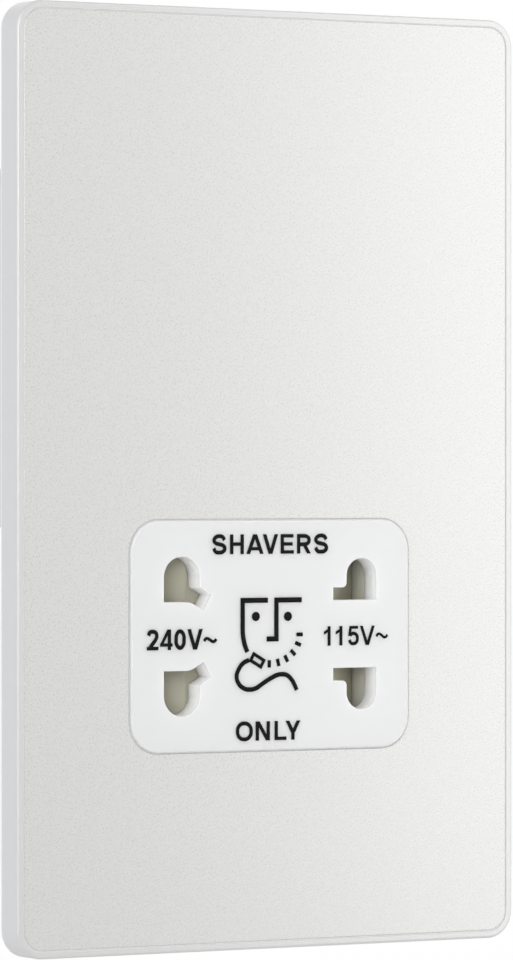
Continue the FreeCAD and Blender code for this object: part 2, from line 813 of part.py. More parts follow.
def make_contact_block():
    body = new_body("contact_block")
    wide = face_half_width - dim.face_side_wall - dim.block_play
    tall = face_half_height - dim.face_side_wall - dim.block_play
    corner = dim.face_corner - dim.face_side_wall - dim.block_play
    add(body, rounded(-wide, wide, face_middle - tall, face_middle + tall, corner), slot_back, face_back)
    flange = rounded(
        -flange_half_width,
        flange_half_width,
        face_middle - flange_half_height,
        face_middle + flange_half_height,
        flange_corner,
    )
    add(body, flange, face_back, block_flange_back)
    rear_wide, rear_tall = dim.block_rear_half_width, dim.block_rear_half_height
    rear = rectangle(-rear_wide, rear_wide, face_middle - rear_tall, face_middle + rear_tall)
    add(body, rear, block_flange_back, block_back)
    guide_tall = dim.shutter_half_height + dim.slide_gap
    guide = rectangle(-dim.guide_half_width, dim.guide_half_width, face_middle - guide_tall, face_middle + guide_tall)
    cut(body, guide, slot_back, guide_front)
    post_tall = dim.spring_outside / 2 - dim.spring_play
    for end in (-1, 1):
        row = face_middle + end * dim.spring_row
        post = rectangle(-dim.post_half_width, dim.post_half_width, row - post_tall, row + post_tall)
        add(body, post, shutter_back - dim.spring_outside, guide_front)
    for side, end in contact_chambers():
        opening = across_between(side, dim.pin_opening_start, shutter_outer)
        height = band_between(end, dim.slot_inner - dim.slide_gap, dim.contact_high)
        cut(body, rectangle(*opening, *height), guide_front, guide_back)
        chamber = across_between(side, dim.chamber_start, dim.chamber_end)
        height = band_between(end, dim.chamber_low, dim.chamber_high)
        cut(body, rectangle(*chamber, *height), guide_back, block_back)
    bay_wide, bay_tall = dim.bay_half_width, dim.bay_half_height
    bay = rectangle(-bay_wide, bay_wide, face_middle - bay_tall, face_middle + bay_tall)
    cut(body, bay, guide_back, block_back)
    strip_room = dim.contact_back_gap + dim.contact_sheet + dim.slide_gap
    play = dim.contact_back_gap
    strip_ends = dim.slot_115_x
    strip_band = band_between(-1, dim.common_strip_low - play, dim.common_strip_high + play)
    cut(body, rectangle(-strip_ends, strip_ends, *strip_band), block_back - strip_room, block_back)
    upright_half = dim.common_strip_half + play
    upright = rectangle(-upright_half, upright_half, strip_band[0], face_middle + rear_tall)
    cut(body, upright, block_back - strip_room, block_back)
    for side in (-1, 1):
        hole = ring(side * dim.plunger_x, face_middle, dim.plunger_diameter / 2 + dim.plunger_play)
        cut(body, hole, guide_front, guide_back)
        tail_side = contact_middle(side) + side * contact_outer
        tail_gap = rectangle(
            *across_between(side, side * tail_side - 2 * dim.contact_sheet, side * tail_side + dim.contact_sheet / 2),
            tail_front - dim.plunger_play,
            tail_front + dim.contact_tail_width + dim.plunger_play,
        )
        cut(body, tail_gap, face_middle + dim.chamber_high, face_middle + rear_tall, "XY_Plane")


contact_outer = dim.contact_gap / 2 + dim.contact_sheet
contact_front = guide_back + dim.contact_front
contact_back = block_back - dim.contact_back_gap
tail_front = guide_back + dim.contact_tail_start


def contact_middle(side):
    return side * (dim.slot_115_x if side > 0 else dim.slot_240_x)


def contact_outline(side):
    """A sheet folded into two sprung leaves that flare at their front edges."""
    middle = contact_middle(side)
    gap, outer, flare = dim.contact_gap / 2, contact_outer, dim.contact_flare
    straight = contact_front + dim.contact_flare_length
    inside_back = contact_back - dim.contact_sheet
    half = [(outer, contact_back), (outer, straight), (outer + flare, contact_front)]
    half += [(gap + flare, contact_front), (gap, straight), (gap, inside_back)]
    mirrored = [(-1 * x, y) for x, y in reversed(half)]
    return polygon(*[(middle + x, y) for x, y in half + mirrored])


def make_single_contact(name, side):
    body = new_body(name)
    low, high = face_middle + dim.contact_low, face_middle + dim.contact_high
    add(body, contact_outline(side), low, high, "XY_Plane")
    outer = contact_middle(side) + side * contact_outer
    tail = across_between(side, side * outer - dim.contact_sheet, side * outer)
    tail_back = tail_front + dim.contact_tail_width
    tail_outline = rectangle(*tail, tail_front, tail_back)
    add(body, tail_outline, high - dim.contact_sheet, face_middle + dim.contact_tail_top, "XY_Plane")


def make_common_contact():
    """Both lower contacts, joined by a strip that rises behind the switches."""
    body = new_body("contact_common")
    low, high = face_middle - dim.contact_high, face_middle - dim.contact_low
    front = contact_back - dim.contact_sheet
    strip = rectangle(
        contact_middle(-1),
        contact_middle(1),
        face_middle - dim.common_strip_high,
        face_middle - dim.common_strip_low,
    )
    add(body, strip, front, contact_back)
    half = dim.common_strip_half
    upright = rectangle(-half, half, face_middle - dim.common_strip_high, face_middle + dim.contact_tail_top)
    add(body, upright, front, contact_back)
    for side in (-1, 1):
        add(body, contact_outline(side), low, high, "XY_Plane")


def make_contact_cover():
    body = new_body("contact_cover")
    wide, tall = dim.block_rear_half_width, dim.block_rear_half_height
    plate = rounded(-wide, wide, face_middle - tall, face_middle + tall, dim.rib)
    add(body, plate, block_back, cover_back)
    bay_wide, bay_tall = dim.bay_half_width, dim.bay_half_height
    cut(body, rectangle(-bay_wide, bay_wide, face_middle - bay_tall, face_middle + bay_tall), block_back, cover_back)


def make_switch(name, side):
    body = new_body(name)
    span = across_between(side, dim.switch_start, dim.switch_end)
    half = dim.bay_half_height - dim.slide_gap
    back = guide_back + dim.switch_depth
    add(body, rectangle(*span, face_middle - half, face_middle + half), guide_back, back)
    tag_half = half - dim.contact_sheet
    for place in (dim.switch_tag_near, dim.switch_tag_far):
        tag = across_between(side, place - dim.contact_sheet / 2, place + dim.contact_sheet / 2)
        add(body, rectangle(*tag, face_middle - tag_half, face_middle + tag_half), back, switch_tag_back)
    bore = ring(side * dim.plunger_x, face_middle, dim.plunger_diameter / 2 + dim.plunger_play)
    cut(body, bore, guide_back, guide_back + dim.switch_bore_depth)


switch_tag_back = guide_back + dim.switch_depth + dim.switch_tag_length


def make_plunger(name, side):
    tip = cam_at_plunger + dim.plunger_play
    radius = dim.plunger_diameter / 2
    keep(name, rod(name, side * dim.plunger_x, tip, face_middle, radius, dim.plunger_length))


def make_core():
    body = new_body("core_e_stack")
    add(body, rectangle(-core_half_width, core_half_width, dim.core_base, window_top), core_front, core_back)
    for side in (-1, 1):
        window = across_between(side, core_leg_half, core_half_width - dim.core_side)
        cut(body, rectangle(*window, yoke_top, window_top), core_front, core_back)
    bar = block("core_i_stack", -core_half_width, core_half_width, core_front, core_back, window_top, core_top)
    keep("core_i_stack", bar)


def make_core_strap():
    """A sheet bent over the core and hooked under its yoke."""
    body = new_body("core_strap")
    sheet_thickness = dim.strap_sheet
    front = dim.core_middle - dim.strap_width / 2
    back = dim.core_middle + dim.strap_width / 2
    outside = core_half_width + sheet_thickness
    low = dim.core_base - sheet_thickness
    add(body, rectangle(-outside, outside, low, core_top + sheet_thickness), front, back)
    cut(body, rectangle(-core_half_width, core_half_width, dim.core_base, core_top), front, back)
    gap = core_half_width - dim.strap_foot
    cut(body, rectangle(-gap, gap, low, dim.core_base), front, back)


def pin_places():
    """Secondary pins along the front of the lower flange and primary pins along its back."""
    front = coil_front + dim.pin_inset
    back = coil_back - dim.pin_inset
    places = [(step * dim.pin_side, front) for step in (-1, 0, 1)]
    return places + [(-dim.switch_tag_near, back), (dim.switch_tag_far, back)]


def make_bobbin():
    body = new_body("bobbin")
    hole_x = core_leg_half + dim.bobbin_play
    hole_front, hole_back = core_front - dim.bobbin_play, core_back + dim.bobbin_play
    wall_x = hole_x + dim.bobbin_wall
    tube = rectangle(-wall_x, wall_x, hole_front - dim.bobbin_wall, hole_back + dim.bobbin_wall)
    add(body, tube, bobbin_low, bobbin_high, "XY_Plane")
    flange = rounded(-coil_half_width, coil_half_width, coil_front, coil_back, dim.bobbin_wall)
    divider_low = bobbin_middle - dim.bobbin_divider / 2
    levels = [
        (bobbin_low, bobbin_low + dim.bobbin_flange),
        (divider_low, divider_low + dim.bobbin_divider),
        (bobbin_high - dim.bobbin_flange, bobbin_high),
    ]
    for low, high in levels:
        add(body, flange, low, high, "XY_Plane")
    cut(body, rectangle(-hole_x, hole_x, hole_front, hole_back), bobbin_low, bobbin_high, "XY_Plane")
    for x, y in pin_places():
        hole = ring(x, y, dim.bobbin_pin / 2)
        cut(body, hole, bobbin_low, bobbin_low + dim.bobbin_flange, "XY_Plane")


def make_bobbin_pins():
    length = dim.bobbin_pin_length + dim.bobbin_flange
    low = bobbin_low - dim.bobbin_pin_length
    pins = [rod("bobbin_pin", x, y, low, dim.bobbin_pin / 2, length, "z") for x, y in pin_places()]
    group("bobbin_pins", pins)


def winding_band(upper):
    """The height that one winding fills between its two flanges."""
    if upper:
        return bobbin_middle + dim.bobbin_divider / 2, bobbin_high - dim.bobbin_flange
    return bobbin_low + dim.bobbin_flange, bobbin_middle - dim.bobbin_divider / 2


def winding_outline(inset, radius):
    return rounded(
        inset - coil_half_width,
        coil_half_width - inset,
        coil_front + inset,
        coil_back - inset,
        radius,
    )


def make_winding(name, upper):
    body = new_body(name)
    low, high = winding_band(upper)
    add(body, winding_outline(dim.winding_inset, dim.winding_round), low, high, "XY_Plane")
    tube_x = core_leg_half + dim.bobbin_play + dim.bobbin_wall
    tube_y = dim.core_stack / 2 + dim.bobbin_play + dim.bobbin_wall
    tube = rectangle(-tube_x, tube_x, dim.core_middle - tube_y, dim.core_middle + tube_y)
    cut(body, tube, low, high, "XY_Plane")


def make_winding_tape():
    """A wrap of tape round each winding."""
    wraps = []
    for upper in (False, True):
        body = document.addObject("PartDesign::Body", "tape_wrap")
        low, high = winding_band(upper)
        outer_inset = dim.winding_inset - dim.tape
        outline = winding_outline(outer_inset, dim.winding_round + dim.tape)
        add(body, outline, low, high, "XY_Plane")
        cut(body, winding_outline(dim.winding_inset, dim.winding_round), low, high, "XY_Plane")
        wraps.append(body)
    group("winding_tape", wraps)


def make_thermal_cutout():
    """A sealed cut-out that rests on the tape of the primary winding."""
    body = new_body("thermal_cutout")
    low, high = winding_band(True)
    middle = (low + high) / 2
    half = dim.cutout_width / 2
    back = coil_front + dim.winding_inset - dim.tape
    outline = rounded(-half, half, middle - dim.cutout_height / 2, middle + dim.cutout_height / 2, dim.rib / 2)
    add(body, outline, back - dim.cutout_thickness, back)


def column_spots():
    return [(side * column_x, end * column_z) for side in (-1, 1) for end in (-1, 1)]


def terminal_places():
    return [step * dim.terminal_spacing for step in (-1, 0, 1)]


terminal_middle = -dim.terminal_drop
terminal_half_width = dim.terminal_width / 2
terminal_half_height = dim.terminal_height / 2
terminal_back = step_outer + dim.terminal_length
terminal_bore_y = step_outer + dim.terminal_bore_depth
clamp_z = terminal_middle + dim.terminal_screw_rise
tag_low = terminal_middle + dim.tower_wall / 2
tag_high = tag_low + dim.terminal_tag_thickness


def make_rear_housing():
    body = new_body("rear_housing")
    wide, tall = housing_half_width, housing_half_height
    shell = dim.housing_wall
    add(body, rounded(-wide, wide, -tall, tall, dim.housing_corner), wall, housing_back)
    step = -dim.step_height
    beyond = dim.housing_wall
    cut(body, rectangle(-wide - beyond, wide + beyond, -tall - beyond, step), step_outer, housing_back)
    inner_corner = dim.housing_corner - shell
    upper = rounded(shell - wide, wide - shell, step + shell, tall - shell, inner_corner)
    cut(body, upper, wall, housing_inner)
    lower = rounded(shell - wide, wide - shell, shell - tall, tall - shell, inner_corner)
    cut(body, lower, wall, step_inner)
    rib = dim.rib
    for side, end in contact_chambers():
        spot = (side * column_x, end * column_z)
        column_end = step_inner if end < 0 else housing_inner
        add(body, ring(*spot, dim.column_diameter / 2), dim.pillar_length, column_end)
    for side in (-1, 1):
        shelf = across_between(side, core_half_width - dim.strap_foot - rib, wide - shell)
        shelf_top = dim.core_base - dim.strap_sheet
        shelf_front = dim.core_middle - dim.strap_width / 2
        add(body, rectangle(*shelf, shelf_top - shell, shelf_top), shelf_front, housing_inner)
        hanger = across_between(side, core_leg_half + rib, core_leg_half + 2 * rib)
        add(body, rectangle(*hanger, core_top + dim.strap_sheet, tall - shell), shelf_front, housing_inner)
        stop = across_between(side, rib_middle - rib / 2, rib_middle + rib / 2)
        add(body, rectangle(*stop, rib_low, rib_high), core_back, housing_inner)
        press = across_between(side, dim.block_rear_half_width - 2 * rib, dim.block_rear_half_width - rib)
        press_tall = dim.block_rear_half_height - rib
        add(body, rectangle(*press, face_middle - press_tall, face_middle + press_tall), cover_back, step_inner)
    tower_half = dim.terminal_spacing + terminal_half_width + dim.terminal_play + dim.tower_wall
    pocket_half_height = terminal_half_height + dim.terminal_play
    pocket_half_width = terminal_half_width + dim.terminal_play
    tower_low = terminal_middle - pocket_half_height - dim.tower_top_wall
    tower_high = terminal_middle + pocket_half_height + dim.tower_top_wall
    add(body, rectangle(-tower_half, tower_half, tower_low, tower_high), step_outer, housing_back)
    for x in terminal_places():
        pocket = rectangle(
            x - pocket_half_width,
            x + pocket_half_width,
            terminal_middle - pocket_half_height,
            terminal_middle + pocket_half_height,
        )
        cut(body, pocket, step_outer, housing_back)
        entry = ring(x, terminal_bore_y, dim.entry_hole / 2)
        cut(body, entry, tower_low, terminal_middle - pocket_half_height, "XY_Plane")
    play = dim.screw_hole_play
    tag_room = dim.terminal_tag_half + play
    for side in (-1, 1):
        x = side * dim.terminal_spacing
        slit = rectangle(x - tag_room, x + tag_room, tag_low - play, tag_high + play)
        cut(body, slit, step_inner, step_outer)
    for x, z in column_spots():
        cut(body, ring(x, z, dim.screw_head / 2 + dim.screw_head_play), screw_seat, housing_back)
        cut(body, ring(x, z, dim.screw_shank / 2 + play), dim.pillar_length, screw_seat)
    vent_middle = (dim.core_base + core_top) / 2
    for index in range(dimensions["vent_count"]):
        low = vent_middle + (index - (dim.vent_count - 1) / 2) * dim.vent_pitch - dim.vent_height / 2
        vent = rectangle(-dim.vent_width / 2, dim.vent_width / 2, low, low + dim.vent_height)
        cut(body, vent, housing_inner, housing_back)


screw_seat = dim.pillar_length + dim.column_web


def make_housing_screws():
    """Four pan-head screws that draw the housing onto the frame's pillars."""
    screws = []
    for x, z in column_spots():
        tip = dim.pillar_length - dim.screw_grip
        shank = rod("screw_shank_rod", x, tip, z, dim.screw_shank / 2, screw_seat - tip)
        head = rod("screw_head_rod", x, screw_seat, z, dim.screw_head / 2, dim.screw_head_height)
        whole = fuse("housing_screw_blank", shank, head)
        screws.append(cross_cut("housing_screw", whole, x, screw_seat + dim.screw_head_height, z, dim.screw_head / 2))
    group("housing_screws", screws)


def cross_cut(name, whole, x, back, z, half):
    """Cut a cross recess into a screw's head."""
    deep = dim.screw_head_height / 2
    thin = half / 5
    reach_out = half * 0.6
    level = block("recess_level", x - reach_out, x + reach_out, back - deep, back, z - thin, z + thin)
    upright = block("recess_upright", x - thin, x + thin, back - deep, back, z - reach_out, z + reach_out)
    return subtract(name, whole, fuse("recess_cross", level, upright))


def make_terminal(name, x, with_tag):
    """A brass block with a bore for the wire and a threaded hole for its clamping screw."""
    body = new_body(name)
    low, high = terminal_middle - terminal_half_height, terminal_middle + terminal_half_height
    add(body, rectangle(x - terminal_half_width, x + terminal_half_width, low, high), step_outer, terminal_back)
    cut(body, ring(x, terminal_bore_y, dim.terminal_bore / 2), low, high, "XY_Plane")
    hole = ring(x, clamp_z, dim.terminal_screw / 2 + dim.screw_play)
    cut(body, hole, terminal_bore_y, terminal_back)
    if with_tag:
        half = dim.terminal_tag_half
        tag_end = step_inner - dim.terminal_tag_reach
        add(body, rectangle(x - half, x + half, tag_low, tag_high), tag_end, step_outer)


def make_terminal_screws():
    screws = []
    for x in terminal_places():
        tip = terminal_bore_y + dim.terminal_bore / 2 + dim.screw_play
        shank = rod("clamp_shank", x, tip, clamp_z, dim.terminal_screw / 2, terminal_back - tip)
        head_radius = dim.terminal_screw_head / 2
        head = rod("clamp_head", x, terminal_back, clamp_z, head_radius, dim.terminal_screw_head_height)
        back = terminal_back + dim.terminal_screw_head_height
        thin = dim.terminal_screw_head / 12
        slot = block(
            "clamp_slot",
            x - head_radius,
            x + head_radius,
            back - dim.terminal_screw_head_height / 2,
            back,
            clamp_z - thin,
            clamp_z + thin,
        )
        screws.append(subtract("terminal_screw_cut", fuse("terminal_screw_blank", shank, head), slot))
    group("terminal_screws", screws)


def bent_path(points, bend):
    """Straight runs joined by tangent arcs of one radius."""
    edges = []
    start = points[0]
    for before, corner, after in zip(points, points[1:], points[2:]):
        towards = (before - corner).normalize()
        away = (after - corner).normalize()
        half_angle = towards.getAngle(away) / 2
        back_off = bend / math.tan(half_angle)
        first, last = corner + towards * back_off, corner + away * back_off
        middle_way = (towards + away).normalize()
        centre_gap = bend / math.sin(half_angle)
        middle = corner + middle_way * (centre_gap - bend)
        edges.append(Part.LineSegment(start, first).toShape())
        edges.append(Part.Arc(first, middle, last).toShape())
        start = last
    edges.append(Part.LineSegment(start, points[-1]).toShape())
    return Part.Wire(edges)


def make_lead(name, points, bend):
    """An insulated wire along its own route."""
    spots = [Vector(*[number(item) for item in point]) for point in points]
    path = bent_path(spots, number(bend))
    circle = Part.makeCircle(number(dim.lead_diameter) / 2, spots[0], (spots[1] - spots[0]))
    thing = document.addObject("Part::Feature", name)
    thing.Shape = path.makePipeShell([Part.Wire([circle])], True, False)
    thing.Placement = FreeCAD.Placement()
    keep(name, thing)


def make_leads():
    upper_joint = face_middle + dim.bay_half_height / 2
    lower_joint = face_middle - dim.bay_half_height / 2
    riser = step_inner - dim.terminal_tag_reach / 2
    far, near, start = dim.switch_tag_far, dim.switch_tag_near, switch_tag_back
    pin_low = bobbin_low - dim.bobbin_pin_length
    pin_back, pin_front = coil_back - dim.pin_inset, coil_front + dim.pin_inset
    under_core = dim.core_base - dim.wire_space - dim.strap_sheet
    bend, tight = dim.lead_bend, dim.lead_tight_bend
    live = [(-far, riser, tag_high), (-far, riser, upper_joint), (-far, start, upper_joint)]
    make_lead("live_lead", live, bend)
    neutral = [(far, riser, tag_high), (far, riser, under_core)]
    neutral += [(far, pin_back, under_core), (far, pin_back, pin_low)]
    make_lead("neutral_lead", neutral, bend)
    primary_y = cover_back + dim.wire_space / 2
    primary = [(-near, start, upper_joint), (-near, primary_y, upper_joint), (-near, primary_y, under_core)]
    primary += [(-near, pin_back, under_core), (-near, pin_back, pin_low)]
    make_lead("primary_lead", primary, bend)
    inner_y = start + dim.lead_tight_bend + dim.slide_gap
    inner = [(-near, start, lower_joint), (-near, inner_y, lower_joint)]
    inner += [(near, inner_y, lower_joint), (near, start, lower_joint)]
    make_lead("switch_link_inner", inner, tight)
    outer_y = inner_y + dim.lead_diameter + dim.bobbin_end_play + dim.slide_gap
    outer = [(-far, start, lower_joint), (-far, outer_y, lower_joint)]
    outer += [(far, outer_y, lower_joint), (far, start, lower_joint)]
    make_lead("switch_link_outer", outer, bend)
    tail_top = face_middle + dim.contact_tail_top
    tail_y = tail_front + dim.contact_tail_width / 2
    for name, side in (("lead_240", -1), ("lead_115", 1)):
        tail_x = contact_middle(side) + side * (contact_outer - dim.contact_sheet / 2)
        route = [(tail_x, tail_y, tail_top), (tail_x, tail_y, under_core + dim.core_side / 4)]
        route += [(side * dim.pin_side, pin_front, dim.core_base), (side * dim.pin_side, pin_front, pin_low)]
        make_lead(name, route, bend)
    strip_y = contact_back - dim.contact_sheet / 2
    common = [(wall, strip_y, tail_top), (wall, strip_y, under_core)]
    common += [(wall, pin_front, under_core), (wall, pin_front, pin_low)]
    make_lead("lead_common", common, bend)


make_base_frame()
make_front_plate()
make_socket_face()
make_shutter("shutter_240", -1)
make_shutter("shutter_115", 1)
make_springs("springs_240", -1)
make_springs("springs_115", 1)
make_contact_block()
make_contact_cover()
make_single_contact("contact_240", -1)
make_single_contact("contact_115", 1)
make_common_contact()
make_switch("microswitch_240", -1)
make_switch("microswitch_115", 1)
make_plunger("plunger_240", -1)
make_plunger("plunger_115", 1)
make_core()
make_core_strap()
make_bobbin()
make_bobbin_pins()
make_winding("primary_winding", True)
make_winding("secondary_winding", False)
make_winding_tape()
make_thermal_cutout()
make_rear_housing()
make_housing_screws()
terminal_names = ("live_terminal", "earth_terminal", "neutral_terminal")
for terminal_name, terminal_x in zip(terminal_names, terminal_places()):
    make_terminal(terminal_name, terminal_x, terminal_name != "earth_terminal")
make_terminal_screws()
make_leads()

document.recompute()

# Every object must have been built before anything is written.
failed = [item.Name for item in document.Objects if "Invalid" in item.State or "Error" in item.State]
if failed:
    raise RuntimeError("these objects failed: " + ", ".join(failed))
os.makedirs("parts", exist_ok=True)
for name, piece in pieces.items():
    if piece.Shape.isNull() or not piece.Shape.isValid():
        raise RuntimeError(name + " has no valid shape")
for name, piece in pieces.items():
    piece.Shape.exportStep("parts/%s.step" % name)
    print("%-20s %2d solids %10.1f mm3" % (name, len(piece.Shape.Solids), piece.Shape.Volume))
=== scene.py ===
import json
import math

import bmesh
import bpy
from mathutils import Euler, Matrix, Vector


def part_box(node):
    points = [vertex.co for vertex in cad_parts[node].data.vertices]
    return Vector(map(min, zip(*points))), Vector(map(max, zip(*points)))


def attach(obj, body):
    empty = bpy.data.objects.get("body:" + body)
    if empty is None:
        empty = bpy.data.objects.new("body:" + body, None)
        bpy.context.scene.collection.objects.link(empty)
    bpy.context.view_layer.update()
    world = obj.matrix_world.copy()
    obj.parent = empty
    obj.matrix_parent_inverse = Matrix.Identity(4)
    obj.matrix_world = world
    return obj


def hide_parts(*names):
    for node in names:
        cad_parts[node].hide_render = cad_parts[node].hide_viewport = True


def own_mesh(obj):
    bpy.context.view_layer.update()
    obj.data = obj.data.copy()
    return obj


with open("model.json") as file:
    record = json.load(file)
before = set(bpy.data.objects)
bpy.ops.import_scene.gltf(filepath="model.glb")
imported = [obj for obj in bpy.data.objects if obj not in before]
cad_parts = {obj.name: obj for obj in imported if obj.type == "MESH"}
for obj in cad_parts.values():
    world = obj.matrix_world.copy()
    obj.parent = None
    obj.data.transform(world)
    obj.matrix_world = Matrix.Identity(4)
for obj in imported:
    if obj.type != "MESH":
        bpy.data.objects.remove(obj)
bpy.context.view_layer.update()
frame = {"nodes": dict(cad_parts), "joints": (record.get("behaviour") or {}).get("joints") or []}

print("frame loaded:", len(frame["nodes"]), "nodes")

mm = 0.001

# where the photograph was taken from: a long lens, to the left of the plate and level with its middle
cameraSettings = {
    "place": (-520.99, -860.09, 2.37),  # mm
    "turn": 31.232,  # degrees to the right of straight ahead
    "tilt": -0.141,
    "lens": 228.75,
    "sensor": 36.0,
}


def makeCamera(settings):
    data = bpy.data.cameras.new("photoCamera")
    data.lens = settings["lens"]
    data.sensor_width = settings["sensor"]
    data.clip_start = 0.05
    data.clip_end = 20
    camera = bpy.data.objects.new("photoCamera", data)
    bpy.context.scene.collection.objects.link(camera)
    camera.location = [value * mm for value in settings["place"]]
    camera.rotation_euler = Euler((math.radians(90 + settings["tilt"]), 0, -math.radians(settings["turn"])))
    bpy.context.scene.camera = camera


makeCamera(cameraSettings)


def paintColour(red, green, blue):
    # a colour as a paint chart gives it, 0 to 255, to the linear values that a shader takes
    channels = []
    for channel in (red, green, blue):
        part = channel / 255
        channels.append(part / 12.92 if part <= 0.04045 else ((part + 0.055) / 1.055) ** 2.4)
    return (*channels, 1.0)


class Socket:
    # a node's output that takes plain arithmetic with numbers and with other outputs
    def __init__(self, paint, output):
        self.paint = paint
        self.output = output

    def sum(self, operation, first, second):
        return self.paint.math(operation, first, second)

    def __add__(self, other):
        return self.sum("ADD", self, other)

    def __radd__(self, other):
        return self.sum("ADD", other, self)

    def __sub__(self, other):
        return self.sum("SUBTRACT", self, other)

    def __rsub__(self, other):
        return self.sum("SUBTRACT", other, self)

    def __mul__(self, other):
        return self.sum("MULTIPLY", self, other)

    def __rmul__(self, other):
        return self.sum("MULTIPLY", other, self)

    def __truediv__(self, other):
        return self.sum("DIVIDE", self, other)


class Paint:
    # one material with its nodes
    def __init__(self, name):
        self.material = bpy.data.materials.new(name)
        self.material.use_nodes = True
        self.tree = self.material.node_tree
        self.tree.nodes.clear()
        self.place = self.node("ShaderNodeTexCoord", output="Object")

    def node(self, kind, settings=None, values=None, output=0):
        made = self.tree.nodes.new(kind)
        for key, setting in (settings or {}).items():
            if key == "stops":
                ramp = made.color_ramp.elements
                while len(ramp) < len(setting):
                    ramp.new(0.5)
                for stop, (position, colour) in zip(ramp, setting):
                    stop.position = position
                    stop.color = colour
            else:
                setattr(made, key, setting)
        for key, value in (values or {}).items():
            if isinstance(value, Socket):
                self.tree.links.new(value.output, made.inputs[key])
            else:
                made.inputs[key].default_value = value
        return Socket(self, made.outputs[output])

    def noise(self, size, detail=2.0, rough=0.5, place=None):
        # soft mottling whose blotches are about size millimetres across
        values = {"Vector": place or self.place, "Scale": 1 / (size * mm)}
        return self.node("ShaderNodeTexNoise", None, {**values, "Detail": detail, "Roughness": rough})

    def flakes(self, size):
        # a different value from 0 to 1 in each little cell
        values = {"Vector": self.place, "Scale": 1 / (size * mm)}
        cells = self.node("ShaderNodeTexVoronoi", None, values, "Color")
        return self.node("ShaderNodeSeparateColor", None, {"Color": cells})

    def stretched(self, x, y, z):
        return self.node("ShaderNodeMapping", None, {"Vector": self.place, "Scale": (x, y, z)})

    def along(self, axis):
        # how far along one axis of the object each point lies
        return self.node("ShaderNodeSeparateXYZ", None, {"Vector": self.place}, axis)

    def math(self, operation, *terms, clamp=False):
        settings = {"operation": operation, "use_clamp": clamp}
        return self.node("ShaderNodeMath", settings, dict(enumerate(terms)))

    def vector(self, operation, *terms, output=0):
        return self.node("ShaderNodeVectorMath", {"operation": operation}, dict(enumerate(terms)), output)

    def rise(self, value, start, length):
        # 0 up to start, and 1 from length millimetres further on
        return self.math("DIVIDE", value - start, length * mm, clamp=True)

    def ridges(self, count):
        # 0 up to 1 and back to 0 in each step of the count
        return self.math("PINGPONG", self.math("FRACT", count), 0.5) * 2

    def between(self, amount, first, second):
        # the first colour where amount is 0 and the second where it is 1
        return self.node("ShaderNodeMix", {"data_type": "RGBA"}, {0: amount, 6: first, 7: second}, 2)

    def around(self, colour, spread):
        # the colour, lighter or darker by a spread that lies round 0
        return self.between(spread + 0.5, shade(colour, 0.5), shade(colour, 1.5))

    def bump(self, height, depth, under=None):
        # depth in millimetres
        values = {"Height": height, "Strength": 1.0, "Distance": depth * mm}
        if under:
            values["Normal"] = under
        return self.node("ShaderNodeBump", None, values)

    def finish(self, values):
        surface = self.node("ShaderNodeBsdfPrincipled", None, values)
        return self.close(surface)

    def close(self, surface):
        end = self.tree.nodes.new("ShaderNodeOutputMaterial")
        self.tree.links.new(surface.output, end.inputs["Surface"])
        return self.material


def shade(colour, factor):
    return (*[min(1.0, channel * factor) for channel in colour[:3]], 1.0)


def dress(finish, *names):
    for name in names:
        for holder in frame["nodes"][name].material_slots:
            holder.material = finish


# pearl lacquer with fine mica in it on the plate's front, and a calmer one on the outside of the frame;
# sizes are in millimetres
pearlLook = {
    "colour": paintColour(197, 197, 195),
    "flakeSize": 0.16,
    "mottleSize": 0.55,
    "flakeSpread": 0.03,
    "mottleSpread": 0.03,
    "roughness": 0.31,
    "metal": 0.22,
    "below": paintColour(236, 236, 234),  # the bare moulding, where the lacquer stops
    "stops": 0.12,  # this far behind the front
    "sparkle": 0.0004,
    "coat": 0.35,
}
frameLook = {
    "colour": paintColour(214, 214, 215),
    "flakeSize": 0.16,
    "mottleSize": 0.8,
    "flakeSpread": 0.01,
    "mottleSpread": 0.01,
    "roughness": 0.55,
    "metal": 0.06,
    "below": paintColour(236, 236, 234),
    "stops": 5.2,
    "sparkle": 0.0002,
    "coat": 0.0,
    "tray": (46.42, 75.92, 3.52),  # half width, half height and corner of the bare tray under the plate
    # the rim's front takes the plate's lacquer, and its darker colour there is painted shade
    "rimSprayAndShade": {"colour": paintColour(198, 198, 197), "metal": 0.22, "roughness": 0.33, "fades": 0.6},
}
sprayLook = {"edge": 0.125, "dullness": 0.1, "ripple": 0.002, "coatRoughness": 0.3}  # the same for both


def insideTray(paint, halfWidth, halfHeight, corner):
    # 1 on the walls of a tray with rounded corners and inside it, 0 outside
    across = paint.vector("ABSOLUTE", paint.place)
    beyond = paint.vector("SUBTRACT", across, ((halfWidth - corner) * mm, 1.0, (halfHeight - corner) * mm))
    arm = paint.vector("MAXIMUM", beyond, (0.0, 0.0, 0.0))
    return paint.math("LESS_THAN", paint.vector("LENGTH", arm, output="Value"), corner * mm)


